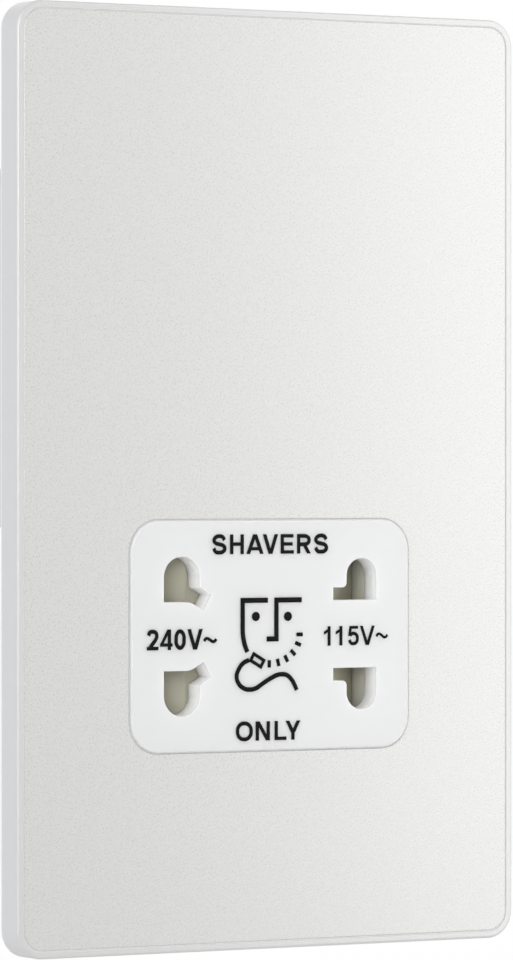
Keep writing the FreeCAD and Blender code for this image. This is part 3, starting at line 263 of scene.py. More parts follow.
def makePearl(name, node, look):
    paint = Paint(name)
    flake = paint.flakes(look["flakeSize"])
    mottle = paint.noise(look["mottleSize"], 3.0, 0.6)
    lift = (flake - 0.5) * look["flakeSpread"] + (mottle - 0.5) * look["mottleSpread"]
    tone = paint.around(look["colour"], lift)
    depth = paint.along("Y")
    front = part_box(node)[0].y
    bare = paint.rise(depth, front + look["stops"] * mm, sprayLook["edge"])
    if "tray" in look:
        bare = paint.math("MAXIMUM", bare, insideTray(paint, *look["tray"]))
    metal, rough = look["metal"], look["roughness"]
    if "rimSprayAndShade" in look:
        # the front of the rim is sprayed like the plate, and its darker tone there is painted shade; both fade
        # out round its edge
        rimSprayAndShade = look["rimSprayAndShade"]
        rimShadeFade = paint.rise(depth, front, rimSprayAndShade["fades"])
        tone = paint.between(rimShadeFade, paint.around(rimSprayAndShade["colour"], lift), tone)
        metal = rimSprayAndShade["metal"] + rimShadeFade * (metal - rimSprayAndShade["metal"])
        rough = rimSprayAndShade["roughness"] + rimShadeFade * (rough - rimSprayAndShade["roughness"])
    ripple = paint.bump(mottle, sprayLook["ripple"])
    return paint.finish({
        "Base Color": paint.between(bare, tone, look["below"]),
        "Roughness": rough + (flake - 0.5) * sprayLook["dullness"],
        "Metallic": metal * (1 - bare),
        "Coat Weight": look["coat"],
        "Coat Roughness": sprayLook["coatRoughness"],
        "Normal": paint.bump(flake, look["sparkle"], ripple),
    })


# moulded plastics: grain and depth are how coarse and how deep the mould's texture is, in millimetres;
# soft is the share of the light that travels under the skin, and reach is how far it goes
plasticLooks = {
    "whiteMoulding": {"colour": paintColour(241, 241, 240), "roughness": 0.34,
                      "grain": 0.35, "depth": 0.0012, "mottle": 0.012, "soft": 1.0, "reach": 2.4,
                      # painted light: the slot walls are given a paler colour than the face's front
                      "paintedWallLight": {"colour": paintColour(254, 254, 253), "from": 0.3, "over": 0.4}},
    "shutterMoulding": {"colour": paintColour(163, 161, 143), "roughness": 0.5,
                        "grain": 0.3, "depth": 0.003, "mottle": 0.05},
    "blockMoulding": {"colour": paintColour(214, 212, 199), "roughness": 0.55,
                      "grain": 0.3, "depth": 0.003, "mottle": 0.05},
    "housingMoulding": {"colour": paintColour(236, 236, 232), "roughness": 0.55,
                        "grain": 0.22, "depth": 0.006, "mottle": 0.02},
    "bobbinMoulding": {"colour": paintColour(48, 49, 52), "roughness": 0.5,
                       "grain": 0.25, "depth": 0.003, "mottle": 0.08},
    "switchMoulding": {"colour": paintColour(38, 38, 41), "roughness": 0.42,
                       "grain": 0.2, "depth": 0.002, "mottle": 0.06},
    "plungerMoulding": {"colour": paintColour(170, 64, 48), "roughness": 0.4,
                        "grain": 0.2, "depth": 0.002, "mottle": 0.05},
    # painted light: the pale filler laid in the gaps so they do not go dark
    "gapLightStrip": {"colour": paintColour(214, 214, 212), "roughness": 0.6,
                   "grain": 0.2, "depth": 0.002, "mottle": 0.02},
    "cutoutSleeve": {"colour": paintColour(234, 232, 222), "roughness": 0.3,
                     "grain": 0.5, "depth": 0.004, "mottle": 0.03},
}
cloudSize = 9.0  # mm, the slow drift of tone over a moulding


def makePlastic(name, look):
    paint = Paint(name)
    grain = paint.noise(look["grain"], 3.0, 0.55)
    cloud = paint.noise(cloudSize)
    tone = paint.around(look["colour"], (cloud - 0.5) * look["mottle"] * 2 + (grain - 0.5) * look["mottle"])
    if "paintedWallLight" in look:
        # painted light: the walls of the slots take a paler colour than the front, so they stay nearly as pale
        # as the face though little light reaches them
        paintedWallLight = look["paintedWallLight"]
        wallLightMask = paint.rise(paint.along("Y"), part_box("socket_face")[0].y + paintedWallLight["from"] * mm, paintedWallLight["over"])
        tone = paint.between(wallLightMask, tone, paintedWallLight["colour"])
    return paint.finish({
        "Base Color": tone,
        "Roughness": look["roughness"] + (grain - 0.5) * 0.12,
        "Subsurface Weight": look.get("soft", 0.0),
        "Subsurface Radius": (1.0, 1.0, 1.0),
        "Subsurface Scale": look.get("reach", 1.0) * mm,
        "Normal": paint.bump(grain, look["depth"]),
    })


# bare and plated metals: the grain runs along the axis with the small stretch
metalLooks = {
    "contactBrass": {"colour": paintColour(205, 172, 100), "roughness": 0.3,
                     "stretch": (1.0, 1.0, 0.06), "line": 0.05, "depth": 0.003},
    "terminalBrass": {"colour": paintColour(200, 166, 92), "roughness": 0.36,
                      "stretch": (0.06, 1.0, 1.0), "line": 0.08, "depth": 0.004},
    "zincPlate": {"colour": paintColour(186, 188, 190), "roughness": 0.32,
                  "stretch": (1.0, 0.5, 1.0), "line": 0.2, "depth": 0.003},
    "springWire": {"colour": paintColour(176, 178, 182), "roughness": 0.26,
                   "stretch": (1.0, 1.0, 1.0), "line": 0.08, "depth": 0.002},
    "strapSteel": {"colour": paintColour(178, 178, 174), "roughness": 0.36,
                   "stretch": (0.06, 1.0, 0.3), "line": 0.08, "depth": 0.003},
    "tinnedPin": {"colour": paintColour(196, 196, 198), "roughness": 0.34,
                  "stretch": (1.0, 1.0, 0.2), "line": 0.1, "depth": 0.003},
}
stainLook = {"size": 2.6, "dark": 0.72, "amount": 0.5}


def makeMetal(name, look):
    paint = Paint(name)
    lines = paint.noise(look["line"], 3.0, 0.6, paint.stretched(*look["stretch"]))
    stain = paint.noise(stainLook["size"], 3.0, 0.6)
    dark = shade(look["colour"], stainLook["dark"])
    return paint.finish({
        "Base Color": paint.between(stain * stainLook["amount"], look["colour"], dark),
        "Metallic": 1.0,
        "Roughness": look["roughness"] + (lines - 0.5) * 0.2 + (stain - 0.5) * 0.12,
        "Normal": paint.bump(lines, look["depth"]),
    })


# the steel sheets of the core, seen on edge as fine lines
coreLook = {
    "colour": paintColour(96, 99, 106),
    "edge": paintColour(60, 52, 46),
    "sheet": 0.5,  # mm
    "seam": 0.35,  # how much of each sheet is its dark edge
    "depth": 0.04,
    "rustSize": 1.8,
    "roughness": 0.42,
}


def makeCoreSteel(look):
    paint = Paint("coreSteel")
    line = paint.ridges(paint.along("Y") / (look["sheet"] * mm))
    stops = [(0.0, (1, 1, 1, 1)), (look["seam"], (0, 0, 0, 1))]
    seam = paint.node("ShaderNodeValToRGB", {"stops": stops}, {"Fac": line})
    rust = paint.noise(look["rustSize"], 4.0, 0.65)
    rusted = paint.between(rust * 0.7, look["colour"], shade(look["colour"], 0.7))
    return paint.finish({
        "Base Color": paint.between(seam, rusted, look["edge"]),
        "Metallic": 0.8,
        "Roughness": look["roughness"] + rust * 0.16,
        "Normal": paint.bump(line, look["depth"]),
    })


# the turns of a winding lie round it, one above the other, with painted shade in the grooves between them
windingLook = {
    "colour": paintColour(158, 74, 38),
    "grooveShade": paintColour(74, 28, 14),
    "wire": 0.28,  # mm
    "wanderSize": 6.0,
    "wander": 0.8,  # turns
    "depth": 0.1,
    "roughness": 0.34,
    "varnish": 0.6,
}


def makeWinding(look):
    paint = Paint("enamelledWire")
    wander = paint.noise(look["wanderSize"])
    crown = paint.ridges(paint.along("Z") / (look["wire"] * mm) + wander * look["wander"])
    return paint.finish({
        # painted shade: the grooves between the turns take a darker colour
        "Base Color": paint.between(crown, look["grooveShade"], look["colour"]),
        "Metallic": 0.55,
        "Roughness": look["roughness"] + (1 - crown) * 0.2,
        "Coat Weight": look["varnish"],
        "Normal": paint.bump(crown, look["depth"]),
    })


# the film round each winding, with the edge of each wrap
tapeLook = {
    "colour": paintColour(226, 190, 60),
    "wrap": 3.4,  # mm
    "creaseSize": 1.6,
    "depth": 0.05,
    "roughness": 0.26,
    "gloss": 0.4,
}


def makeTape(look):
    paint = Paint("windingFilm")
    wrap = paint.math("FRACT", paint.along("Z") / (look["wrap"] * mm))
    crease = paint.noise(look["creaseSize"], 3.0, 0.6)
    return paint.finish({
        "Base Color": paint.between(wrap * 0.35 + crease * 0.3, look["colour"], shade(look["colour"], 0.66)),
        "Roughness": look["roughness"] + crease * 0.14,
        "Coat Weight": look["gloss"],
        "Normal": paint.bump(crease + wrap * 0.5, look["depth"]),
    })


# insulation of the internal leads
sleeveLook = {"skin": 0.4, "dust": 3.0, "depth": 0.01, "roughness": 0.4}  # sizes in mm
sleeveColours = {
    "brownSleeve": paintColour(98, 58, 36),
    "blueSleeve": paintColour(42, 84, 158),
    "whiteSleeve": paintColour(222, 222, 216),
    "redSleeve": paintColour(168, 42, 36),
    "blackSleeve": paintColour(34, 34, 36),
}


def makeSleeve(name, colour, look):
    paint = Paint(name)
    skin = paint.noise(look["skin"], 3.0, 0.55)
    dust = paint.noise(look["dust"])
    return paint.finish({
        "Base Color": paint.between(dust * 0.4, colour, shade(colour, 0.8)),
        "Roughness": look["roughness"] + (skin - 0.5) * 0.16,
        "Normal": paint.bump(skin, look["depth"]),
    })


# the printing ink, a little worn
inkLook = {
    "colour": paintColour(5, 5, 6),
    "worn": paintColour(14, 14, 15),
    "grain": 0.12,  # mm
    "depth": 0.002,
    "roughness": 0.55,
    "shine": 0.1,
}


def makeInk(look):
    paint = Paint("legendInk")
    grain = paint.noise(look["grain"], 3.0, 0.6)
    return paint.finish({
        "Base Color": paint.between(grain * 0.6, look["colour"], look["worn"]),
        "Roughness": look["roughness"] + (grain - 0.5) * 0.2,
        "Specular IOR Level": look["shine"],
        "Normal": paint.bump(grain, look["depth"]),
    })


pearl = makePearl("pearlLacquer", "front_plate", pearlLook)
framePearl = makePearl("frameLacquer", "base_frame", frameLook)
plastics = {name: makePlastic(name, look) for name, look in plasticLooks.items()}
metals = {name: makeMetal(name, look) for name, look in metalLooks.items()}
sleeves = {name: makeSleeve(name, colour, sleeveLook) for name, colour in sleeveColours.items()}
ink = makeInk(inkLook)

dress(pearl, "front_plate")
dress(plastics["whiteMoulding"], "socket_face")
dress(framePearl, "base_frame")
dress(plastics["shutterMoulding"], "shutter_240", "shutter_115")
dress(plastics["blockMoulding"], "contact_block", "contact_cover")
dress(plastics["housingMoulding"], "rear_housing")
dress(plastics["bobbinMoulding"], "bobbin")
dress(plastics["switchMoulding"], "microswitch_240", "microswitch_115")
dress(plastics["plungerMoulding"], "plunger_240", "plunger_115")
dress(plastics["cutoutSleeve"], "thermal_cutout")
dress(metals["contactBrass"], "contact_240", "contact_115", "contact_common")
dress(metals["terminalBrass"], "live_terminal", "earth_terminal", "neutral_terminal")
dress(metals["zincPlate"], "housing_screws", "terminal_screws")
dress(metals["springWire"], "springs_240", "springs_115")
dress(metals["strapSteel"], "core_strap")
dress(metals["tinnedPin"], "bobbin_pins")
dress(makeCoreSteel(coreLook), "core_e_stack", "core_i_stack")
dress(makeWinding(windingLook), "primary_winding", "secondary_winding")
dress(makeTape(tapeLook), "winding_tape")
dress(sleeves["brownSleeve"], "live_lead", "primary_lead", "switch_link_inner", "switch_link_outer")
dress(sleeves["blueSleeve"], "neutral_lead")
dress(sleeves["whiteSleeve"], "lead_240")
dress(sleeves["redSleeve"], "lead_115")
dress(sleeves["blackSleeve"], "lead_common")
print("finishes made:", len(bpy.data.materials))


numberInput, placeInput, finishInput = "NodeSocketFloat", "NodeSocketVector", "NodeSocketMaterial"
layerStep = 0.0005  # mm, how much higher each part of the print lies than the one before
weldDistance = 1e-6


class Recipe:
    # one geometry nodes tree with named inputs
    def __init__(self, name, inputs):
        self.tree = bpy.data.node_groups.new(name, "GeometryNodeTree")
        self.tree.interface.new_socket("Geometry", in_out="INPUT", socket_type="NodeSocketGeometry")
        self.tree.interface.new_socket("Geometry", in_out="OUTPUT", socket_type="NodeSocketGeometry")
        self.identifiers = {}
        for label, kind in inputs.items():
            made = self.tree.interface.new_socket(label, in_out="INPUT", socket_type=kind)
            self.identifiers[label] = made.identifier
        self.entry = self.tree.nodes.new("NodeGroupInput")

    def given(self, label):
        return self.entry.outputs[label]

    def node(self, kind, settings=None, values=None, output=0):
        made = self.tree.nodes.new(kind)
        for key, setting in (settings or {}).items():
            setattr(made, key, setting)
        for key, value in (values or {}).items():
            many = value if isinstance(value, list) else [value]
            for item in many:
                if isinstance(item, bpy.types.NodeSocket):
                    self.tree.links.new(item, made.inputs[key])
                else:
                    made.inputs[key].default_value = item
        return made.outputs[output]

    def stack(self, geometry, base):
        # lifts each part of the print a hair above the one before, so no two tops share a level
        island = self.node("GeometryNodeInputMeshIsland", output="Island Index")
        step = self.node("ShaderNodeMath", {"operation": "MULTIPLY_ADD"}, {0: island, 1: layerStep, 2: base})
        rise = self.node("ShaderNodeCombineXYZ", None, {"Z": step})
        return self.node("GeometryNodeSetPosition", None, {"Geometry": geometry, "Offset": rise})

    def end(self, geometry, material):
        real = self.node("GeometryNodeRealizeInstances", None, {"Geometry": geometry})
        dressed = self.node("GeometryNodeSetMaterial", None, {"Geometry": real, "Material": material})
        finish = self.tree.nodes.new("NodeGroupOutput")
        self.tree.links.new(dressed, finish.inputs["Geometry"])


def raiseFlat(recipe, flat, thickness):
    # turns a flat patch into a closed layer that stands up from its own underside
    lift = recipe.node("ShaderNodeCombineXYZ", None, {"Z": thickness})
    raised = recipe.node("GeometryNodeExtrudeMesh", {"mode": "FACES"}, {
        "Mesh": flat, "Offset": lift, "Offset Scale": 1.0, "Individual": False,
    })
    under = recipe.node("GeometryNodeFlipFaces", None, {"Mesh": flat})
    both = recipe.node("GeometryNodeJoinGeometry", None, {"Geometry": [raised, under]})
    return recipe.node("GeometryNodeMergeByDistance", None, {"Geometry": both, "Distance": weldDistance})


def endInk(recipe, flat):
    raised = raiseFlat(recipe, flat, recipe.given("Thickness"))
    recipe.end(recipe.stack(raised, recipe.given("Base")), recipe.given("Ink"))
    return recipe


def makeStrokeRecipe():
    # an even line of ink along each path
    recipe = Recipe("inkStroke", {
        "Width": numberInput, "Thickness": numberInput, "Base": numberInput, "Ink": finishInput,
    })
    level = recipe.node("GeometryNodeSetCurveNormal", {"mode": "Z_UP"}, {"Curve": recipe.given("Geometry")})
    ends = []
    for side in (-0.5, 0.5):
        reach = recipe.node("ShaderNodeMath", {"operation": "MULTIPLY"}, {0: recipe.given("Width"), 1: side})
        ends.append(recipe.node("ShaderNodeCombineXYZ", None, {"X": reach}))
    nib = recipe.node("GeometryNodeCurvePrimitiveLine", None, {"Start": ends[0], "End": ends[1]})
    corner = recipe.node("GeometryNodeInputRadius")
    values = {"Curve": level, "Profile Curve": nib, "Scale": corner}
    return endInk(recipe, recipe.node("GeometryNodeCurveToMesh", None, values))


def makePatchRecipe():
    # ink inside each closed outline on its own
    recipe = Recipe("inkPatch", {"Thickness": numberInput, "Base": numberInput, "Ink": finishInput})
    outline = recipe.node("GeometryNodeInputIndex")
    values = {"Curve": recipe.given("Geometry"), "Group ID": outline}
    return endInk(recipe, recipe.node("GeometryNodeFillCurve", None, values))


# paths and outlines in millimetres, seen from the front: across, then up
def scaled(shape, left, right, low, high):
    # a shape drawn in a square of one by one, fitted between the four limits
    return [(left + (right - left) * u, low + (high - low) * v) for u, v in shape]


def upright(x, low, high, width):
    return [(x - width / 2, low), (x + width / 2, low), (x + width / 2, high), (x - width / 2, high)]


def levelBar(left, right, z, width):
    return [(left, z - width / 2), (right, z - width / 2), (right, z + width / 2), (left, z + width / 2)]


def leaning(bottomX, bottomZ, topX, topZ, width):
    # a slanting bar whose ends are cut level
    lean = math.atan2(abs(topX - bottomX), abs(topZ - bottomZ))
    half = width / math.cos(lean) / 2
    return [(bottomX - half, bottomZ), (bottomX + half, bottomZ), (topX + half, topZ), (topX - half, topZ)]


def bow(start, pull, end, steps):
    # a soft bend from start to end, drawn towards pull
    spots = []
    for index in range(steps + 1):
        share = index / steps
        weights = ((1 - share) ** 2, 2 * share * (1 - share), share ** 2)
        spots.append(tuple(sum(w * c for w, c in zip(weights, line)) for line in zip(start, pull, end)))
    return spots


def circleOutline(x, z, radius, points=28):
    steps = [index * 2 * math.pi / points for index in range(points)]
    return [(x + radius * math.cos(angle), z + radius * math.sin(angle)) for angle in steps]


letterS = [(0.97, 0.76), (0.80, 0.95), (0.50, 1.0), (0.18, 0.93), (0.03, 0.75), (0.14, 0.60), (0.50, 0.51)]
letterS += [(0.86, 0.42), (1.0, 0.24), (0.84, 0.06), (0.48, 0.0), (0.16, 0.06), (0.0, 0.26)]
roundO = [(0.5, 1.0), (0.13, 0.86), (0.0, 0.5), (0.13, 0.14), (0.5, 0.0), (0.87, 0.14), (1.0, 0.5)]
roundO.append((0.87, 0.86))
digit2 = [(0.0, 0.76), (0.13, 0.94), (0.48, 1.0), (0.85, 0.93), (0.97, 0.73), (0.85, 0.52), (0.5, 0.27)]
digit2.append((0.16, 0.03))
bowl5 = [(0.08, 0.50), (0.27, 0.61), (0.55, 0.64), (0.88, 0.54), (1.0, 0.32), (0.87, 0.09), (0.48, 0.0)]
bowl5 += [(0.14, 0.06), (0.0, 0.24)]

legendLook = {
    "thickness": 0.02,  # mm
    "sink": 0.004,  # how deep the print's underside lies in the face
    "patchBase": 0.006,  # how much higher the bars lie than the lines
    "smoothness": 10,  # steps a span
    "shift": (-0.16, -0.14),  # mm, how far the whole print sits from where it was drawn
    "wordLine": 0.65,
    "leftLine": 0.66,
    "rightLine": 0.55,
    "crossLine": 0.88,  # level strokes and the wave signs are thinner than the stems by these
    "waveLine": 0.78,
}


def upperLegend():
    width, top, low = legendLook["wordLine"], -8.84, -12.06
    inner, mid = width / 2, width * legendLook["crossLine"]
    bends = [scaled(letterS, -11.28 + inner, -8.52 - inner, low - 0.05 + inner, top + 0.05 - inner)]
    bends.append(scaled(letterS, 8.25 + inner, 11.03 - inner, low - 0.05 + inner, top + 0.05 - inner))
    bowl = [(5.3, -9.17), (6.3, -9.17), (6.87, -9.24), (7.22, -9.52), (7.31, -9.85), (7.2, -10.2)]
    bends.append(bowl + [(6.87, -10.46), (6.3, -10.53), (5.3, -10.53)])
    fills = [upright(x, low, top, width) for x in (-7.55, -5.55, 2.15, 5.3)]
    fills.append(levelBar(-7.4, -5.7, -10.42, mid))
    fills.append(leaning(-4.41, low, -3.1, top, width))
    fills.append(leaning(-1.79, low, -3.04, top, width))
    fills.append(levelBar(-4.0, -2.2, -11.2, mid * 0.94))
    fills.append(leaning(-0.16, low, -1.26, top, width))
    fills.append(leaning(-0.09, low, 1.01, top, width))
    fills += [levelBar(2.15, 4.3, top - mid / 2, mid), levelBar(2.15, 4.15, -10.46, mid)]
    fills += [levelBar(2.15, 4.38, low + mid / 2, mid), leaning(7.28, low, 6.42, -10.6, width)]
    return width, bends, [], fills


def lowerLegend():
    width, top, low = legendLook["wordLine"], -39.5, -42.65
    inner, mid = width / 2, width * legendLook["crossLine"]
    loops = [scaled(roundO, -6.75 + inner, -3.5 - inner, low - 0.05 + inner, top + 0.05 - inner)]
    fills = [upright(x, low, top, width) for x in (-2.65, -0.55, 0.98)]
    fills.append(leaning(-0.62, low, -2.58, top, width * 0.96))
    fills.append(levelBar(0.98, 2.95, low + mid / 2, mid))
    fills += [leaning(4.15, -41.4, 3.14, top, width), leaning(4.25, -41.4, 5.28, top, width)]
    fills.append(upright(4.2, low, -41.1, width))
    return width, [], loops, fills


def leftRating():
    width, top, low = legendLook["leftLine"], -24.2, -27.55
    inner, mid = width / 2, width * legendLook["crossLine"]
    bends = [scaled(digit2, -23.6 + inner, -21.35 - inner, low + inner, top - inner)]
    wave = [(-12.78, -26.2), (-12.5, -25.83), (-12.15, -25.78), (-11.6, -26.05), (-11.1, -26.3)]
    wave += [(-10.75, -26.2), (-10.47, -25.88)]
    loops = [scaled(roundO, -18.4 + inner, -16.25 - inner, low + inner, top - inner)]
    fills = [levelBar(-23.6, -21.4, low + mid / 2, mid), levelBar(-21.1, -18.75, -26.72, mid * 0.94)]
    fills += [upright(-19.35, low, top, width * 0.96), leaning(-20.78, -26.6, -19.42, top, width * 0.8)]
    fills += [leaning(-14.53, low, -15.62, top, width), leaning(-14.47, low, -13.38, top, width)]
    return width, bends, loops, fills, wave


def rightRating():
    width, top, low = legendLook["rightLine"], -24.1, -27.3
    inner, mid = width / 2, width * legendLook["crossLine"]
    bends = [scaled(bowl5, 14.9 + inner, 17.0 - inner, low + inner, top - inner)]
    wave = [(20.45, -25.9), (20.7, -25.53), (21.05, -25.48), (21.5, -25.75), (21.95, -26.05)]
    wave += [(22.3, -25.98), (22.6, -25.65)]
    fills = []
    for stem in (11.2, 13.5):
        fills.append(upright(stem, low, top, width * 1.06))
        flag = [(0, 0), (-0.35, -0.5), (-1.0, -0.88), (-1.0, -1.4), (0, -0.85)]
        fills.append([(stem + x, top + z) for x, z in flag])
    fills.append(levelBar(15.2, 16.85, top - mid / 2, mid))
    fills.append(leaning(15.17, -25.75, 15.42, top, width * 0.92))
    fills += [leaning(18.62, low, 17.48, top, width), leaning(18.68, low, 19.82, top, width)]
    return width, bends, [], fills, wave


# the shaver sign: a face with stubble, and a shaver whose cord curls under its chin
signLook = {
    "line": 0.84,
    "cord": 0.76,
    "hair": 0.64,
    "hairs": (0, -19, -38.6, -56, -73, -90),  # degrees round the chin
    "hairLength": 1.22,
    "chin": (-0.36, -25.36),
    "chinReach": (5.86, 4.74),
    "eye": 0.77,
    "eyes": ((-2.93, -22.3), (3.23, -22.36)),
    "head": 0.57,
    "headPlace": (-2.65, -29.5),
    "headSize": (2.79, 1.78),
    "headTurn": -29.3,
}


def signPaths(look):
    jaw = bow((-5.45, -24.3), (-5.45, -26.3), (-4.55, -28.1), 10)
    cheek = [(-0.6, -19.66), (-5.45, -19.66)] + jaw
    nose = [(5.9, -19.66), (1.02, -19.66), (1.02, -26.02), (-0.86, -26.02)]
    stubble = []
    wide, tall = look["chinReach"]
    for degrees in look["hairs"]:
        across, up = math.cos(math.radians(degrees)), math.sin(math.radians(degrees))
        middle = Vector(look["chin"]) + Vector((wide * across, tall * up))
        outward = Vector((across / wide, up / tall)).normalized() * look["hairLength"] / 2
        stubble.append([tuple(middle - outward), tuple(middle + outward)])
    cord = [(-4.2, -29.4), (-5.4, -29.95), (-6.2, -30.9), (-6.6, -31.95), (-6.3, -33.1), (-5.4, -33.95)]
    cord += [(-4.2, -34.25), (-2.9, -34.05), (-2.0, -33.55), (-0.9, -32.9), (0.3, -32.3), (1.2, -31.95)]
    cord += [(2.1, -31.85), (3.0, -32.0), (3.9, -32.7), (4.5, -33.6), (4.93, -34.5)]
    return [cheek, nose], stubble, cord


def shaverHead(look):
    # the tilted head of the little shaver, as a ring with mitred corners
    turn = Matrix.Rotation(math.radians(look["headTurn"]), 2)
    wide, tall = [(size - look["head"]) / 2 for size in look["headSize"]]
    corners = [(-wide, -tall), (wide, -tall), (wide, tall), (-wide, tall)]
    return [tuple(Vector(look["headPlace"]) + turn @ Vector(corner)) for corner in corners]


def addPath(curve, points, smooth, closed):
    spline = curve.splines.new("BEZIER" if smooth else "POLY")
    spots = spline.bezier_points if smooth else spline.points
    spots.add(len(points) - 1)
    count = len(points)
    for index, ((x, z), spot) in enumerate(zip(points, spots)):
        if smooth:
            spot.co = (x, z, 0)
            spot.handle_left_type = spot.handle_right_type = "AUTO"
            continue
        spot.co = (x, z, 0, 1)
        if closed or 0 < index < count - 1:
            here, before, after = [Vector(points[(index + step) % count]) for step in (0, -1, 1)]
            turn = (here - before).angle(after - here)
            spot.radius = 1 / math.cos(turn / 2)  # keeps the line's width through a sharp corner
    spline.use_cyclic_u = closed


def bake(recipe, inputs, data):
    # lets the recipe work on the data and keeps what comes out as a plain mesh
    drawn = bpy.data.objects.new("recipeCarrier", data)
    bpy.context.scene.collection.objects.link(drawn)
    modifier = drawn.modifiers.new("recipe", "NODES")
    modifier.node_group = recipe.tree
    for label, value in inputs.items():
        modifier[recipe.identifiers[label]] = value
    graph = bpy.context.evaluated_depsgraph_get()
    mesh = bpy.data.meshes.new_from_object(drawn.evaluated_get(graph))
    bpy.data.objects.remove(drawn)
    return mesh


def runRecipe(recipe, inputs, paths, smooth=False, closed=False):
    # draws the paths as curves and turns them into a plain mesh with the recipe
    curve = bpy.data.curves.new("legendPaths", "CURVE")
    curve.dimensions = "3D"
    curve.resolution_u = legendLook["smoothness"]
    for points in paths:
        addPath(curve, points, smooth, closed)
    return bake(recipe, inputs, curve)


strokeRecipe = makeStrokeRecipe()
patchRecipe = makePatchRecipe()


def strokes(width, paths, smooth=False, closed=False, thickness=legendLook["thickness"], finish=ink):
    inputs = {"Width": width, "Thickness": thickness, "Base": 0.0, "Ink": finish}
    return runRecipe(strokeRecipe, inputs, paths, smooth, closed)


def patches(outlines):
    inputs = {"Thickness": legendLook["thickness"], "Base": legendLook["patchBase"], "Ink": ink}
    return runRecipe(patchRecipe, inputs, outlines, closed=True)


def layFlat(name, meshes, place, finish):
    # joins the parts of one layer and stands it up, facing the front, with its back at place
    joined = bmesh.new()
    for mesh in meshes:
        joined.from_mesh(mesh)
        bpy.data.meshes.remove(mesh)
    bmesh.ops.recalc_face_normals(joined, faces=joined.faces)
    standing = Matrix.Translation(place) @ Matrix.Rotation(math.radians(90), 4, "X")
    bmesh.ops.transform(joined, matrix=standing @ Matrix.Scale(mm, 4), verts=joined.verts)
    result = bpy.data.meshes.new(name)
    joined.to_mesh(result)
    joined.free()
    result.materials.append(finish)
    piece = bpy.data.objects.new(name, result)
    bpy.context.scene.collection.objects.link(piece)
    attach(piece, "fixed_unit")


def layLegend(name, meshes):
    across, up = legendLook["shift"]
    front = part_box("socket_face")[0].y
    layFlat(name, meshes, Vector((across * mm, front + legendLook["sink"] * mm, up * mm)), ink)


def makeLegend(name, width, bends, loops, fills, wave=()):
    parts = [patches(fills)]
    if bends:
        parts.append(strokes(width, bends, smooth=True))
    if loops:
        parts.append(strokes(width, loops, smooth=True, closed=True))
    if wave:
        parts.append(strokes(width * legendLook["waveLine"], [wave], smooth=True))
    layLegend(name, parts)


def makeSign(look):
    lines, stubble, cord = signPaths(look)
    layLegend("shaverSign", [
        strokes(look["line"], lines),
        strokes(look["hair"], stubble),
        strokes(look["cord"], [cord], smooth=True),
        strokes(look["head"], [shaverHead(look)], closed=True),
        patches([circleOutline(x, z, look["eye"]) for x, z in look["eyes"]]),
    ])


makeLegend("upperLegend", *upperLegend())
makeLegend("lowerLegend", *lowerLegend())
makeLegend("ratingLeft", *leftRating())
makeLegend("ratingRight", *rightRating())
makeSign(signLook)
print("legends laid on the socket face")

# painted light: pale strips laid in the gap round the plate and in the gap round the socket face, so that the
# gaps read pale instead of shaded
gapLightLook = {"below": 0.1, "thickness": 0.5, "finish": "gapLightStrip"}
gapLightPaths = {
    "plateGapLight": {"half": (46.3, 75.8), "middle": 0.0, "corner": 3.4, "width": 0.22},
    "faceGapLight": {"half": (26.7, 18.95), "middle": -25.55, "corner": 5.25, "width": 0.12},
}


def roundedPath(half, middle, corner, steps=14):
    spots = []
    for number, (side, end) in enumerate(((1, 1), (-1, 1), (-1, -1), (1, -1))):
        x, z = side * (half[0] - corner), middle + end * (half[1] - corner)
        for index in range(steps + 1):
            angle = math.radians(90) * (number + index / steps)
            spots.append((x + corner * math.cos(angle), z + corner * math.sin(angle)))
    return spots


def makeGapLight(name, path, look):
    finish = plastics[look["finish"]]
    outline = roundedPath(path["half"], path["middle"], path["corner"])
    strip = strokes(path["width"], [outline], closed=True, thickness=look["thickness"], finish=finish)
    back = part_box("front_plate")[0].y + (look["below"] + look["thickness"]) * mm
    layFlat(name, [strip], Vector((0, back, 0)), finish)


for name, path in gapLightPaths.items():
    makeGapLight(name, path, gapLightLook)
print("strips laid in the gaps")


# the return springs, drawn here: each stands between a fixed post and its shutter
springLook = {"outside": 2.6, "wire": 0.36, "turns": 11.0, "steps": 28, "sides": 10}  # mm; steps a turn


def makeSpringRecipe(look):
    # two equal springs side by side, each a wire wound round a level axis
    recipe = Recipe("returnSprings", {
        "Length": numberInput, "Radius": numberInput, "Wire": numberInput, "Turns": numberInput,
        "First": placeInput, "Step": placeInput, "Finish": finishInput,
    })
    wound = recipe.node("GeometryNodeCurveSpiral", None, {
        "Resolution": look["steps"], "Rotations": recipe.given("Turns"), "Height": recipe.given("Length"),
        "Start Radius": recipe.given("Radius"), "End Radius": recipe.given("Radius"),
    })
    section = recipe.node("GeometryNodeCurvePrimitiveCircle", None, {
        "Resolution": look["sides"], "Radius": recipe.given("Wire"),
    })
    values = {"Curve": wound, "Profile Curve": section, "Fill Caps": True}
    wire = recipe.node("GeometryNodeCurveToMesh", None, values)
    values = {"Geometry": wire, "Rotation": (0, math.radians(90), 0)}
    level = recipe.node("GeometryNodeTransform", None, values)
    rows = recipe.node("GeometryNodeMeshLine", {"mode": "OFFSET"}, {
        "Count": 2, "Start Location": recipe.given("First"), "Offset": recipe.given("Step"),
    })
    pair = recipe.node("GeometryNodeInstanceOnPoints", None, {"Points": rows, "Instance": level})
    recipe.end(pair, recipe.given("Finish"))
    return recipe


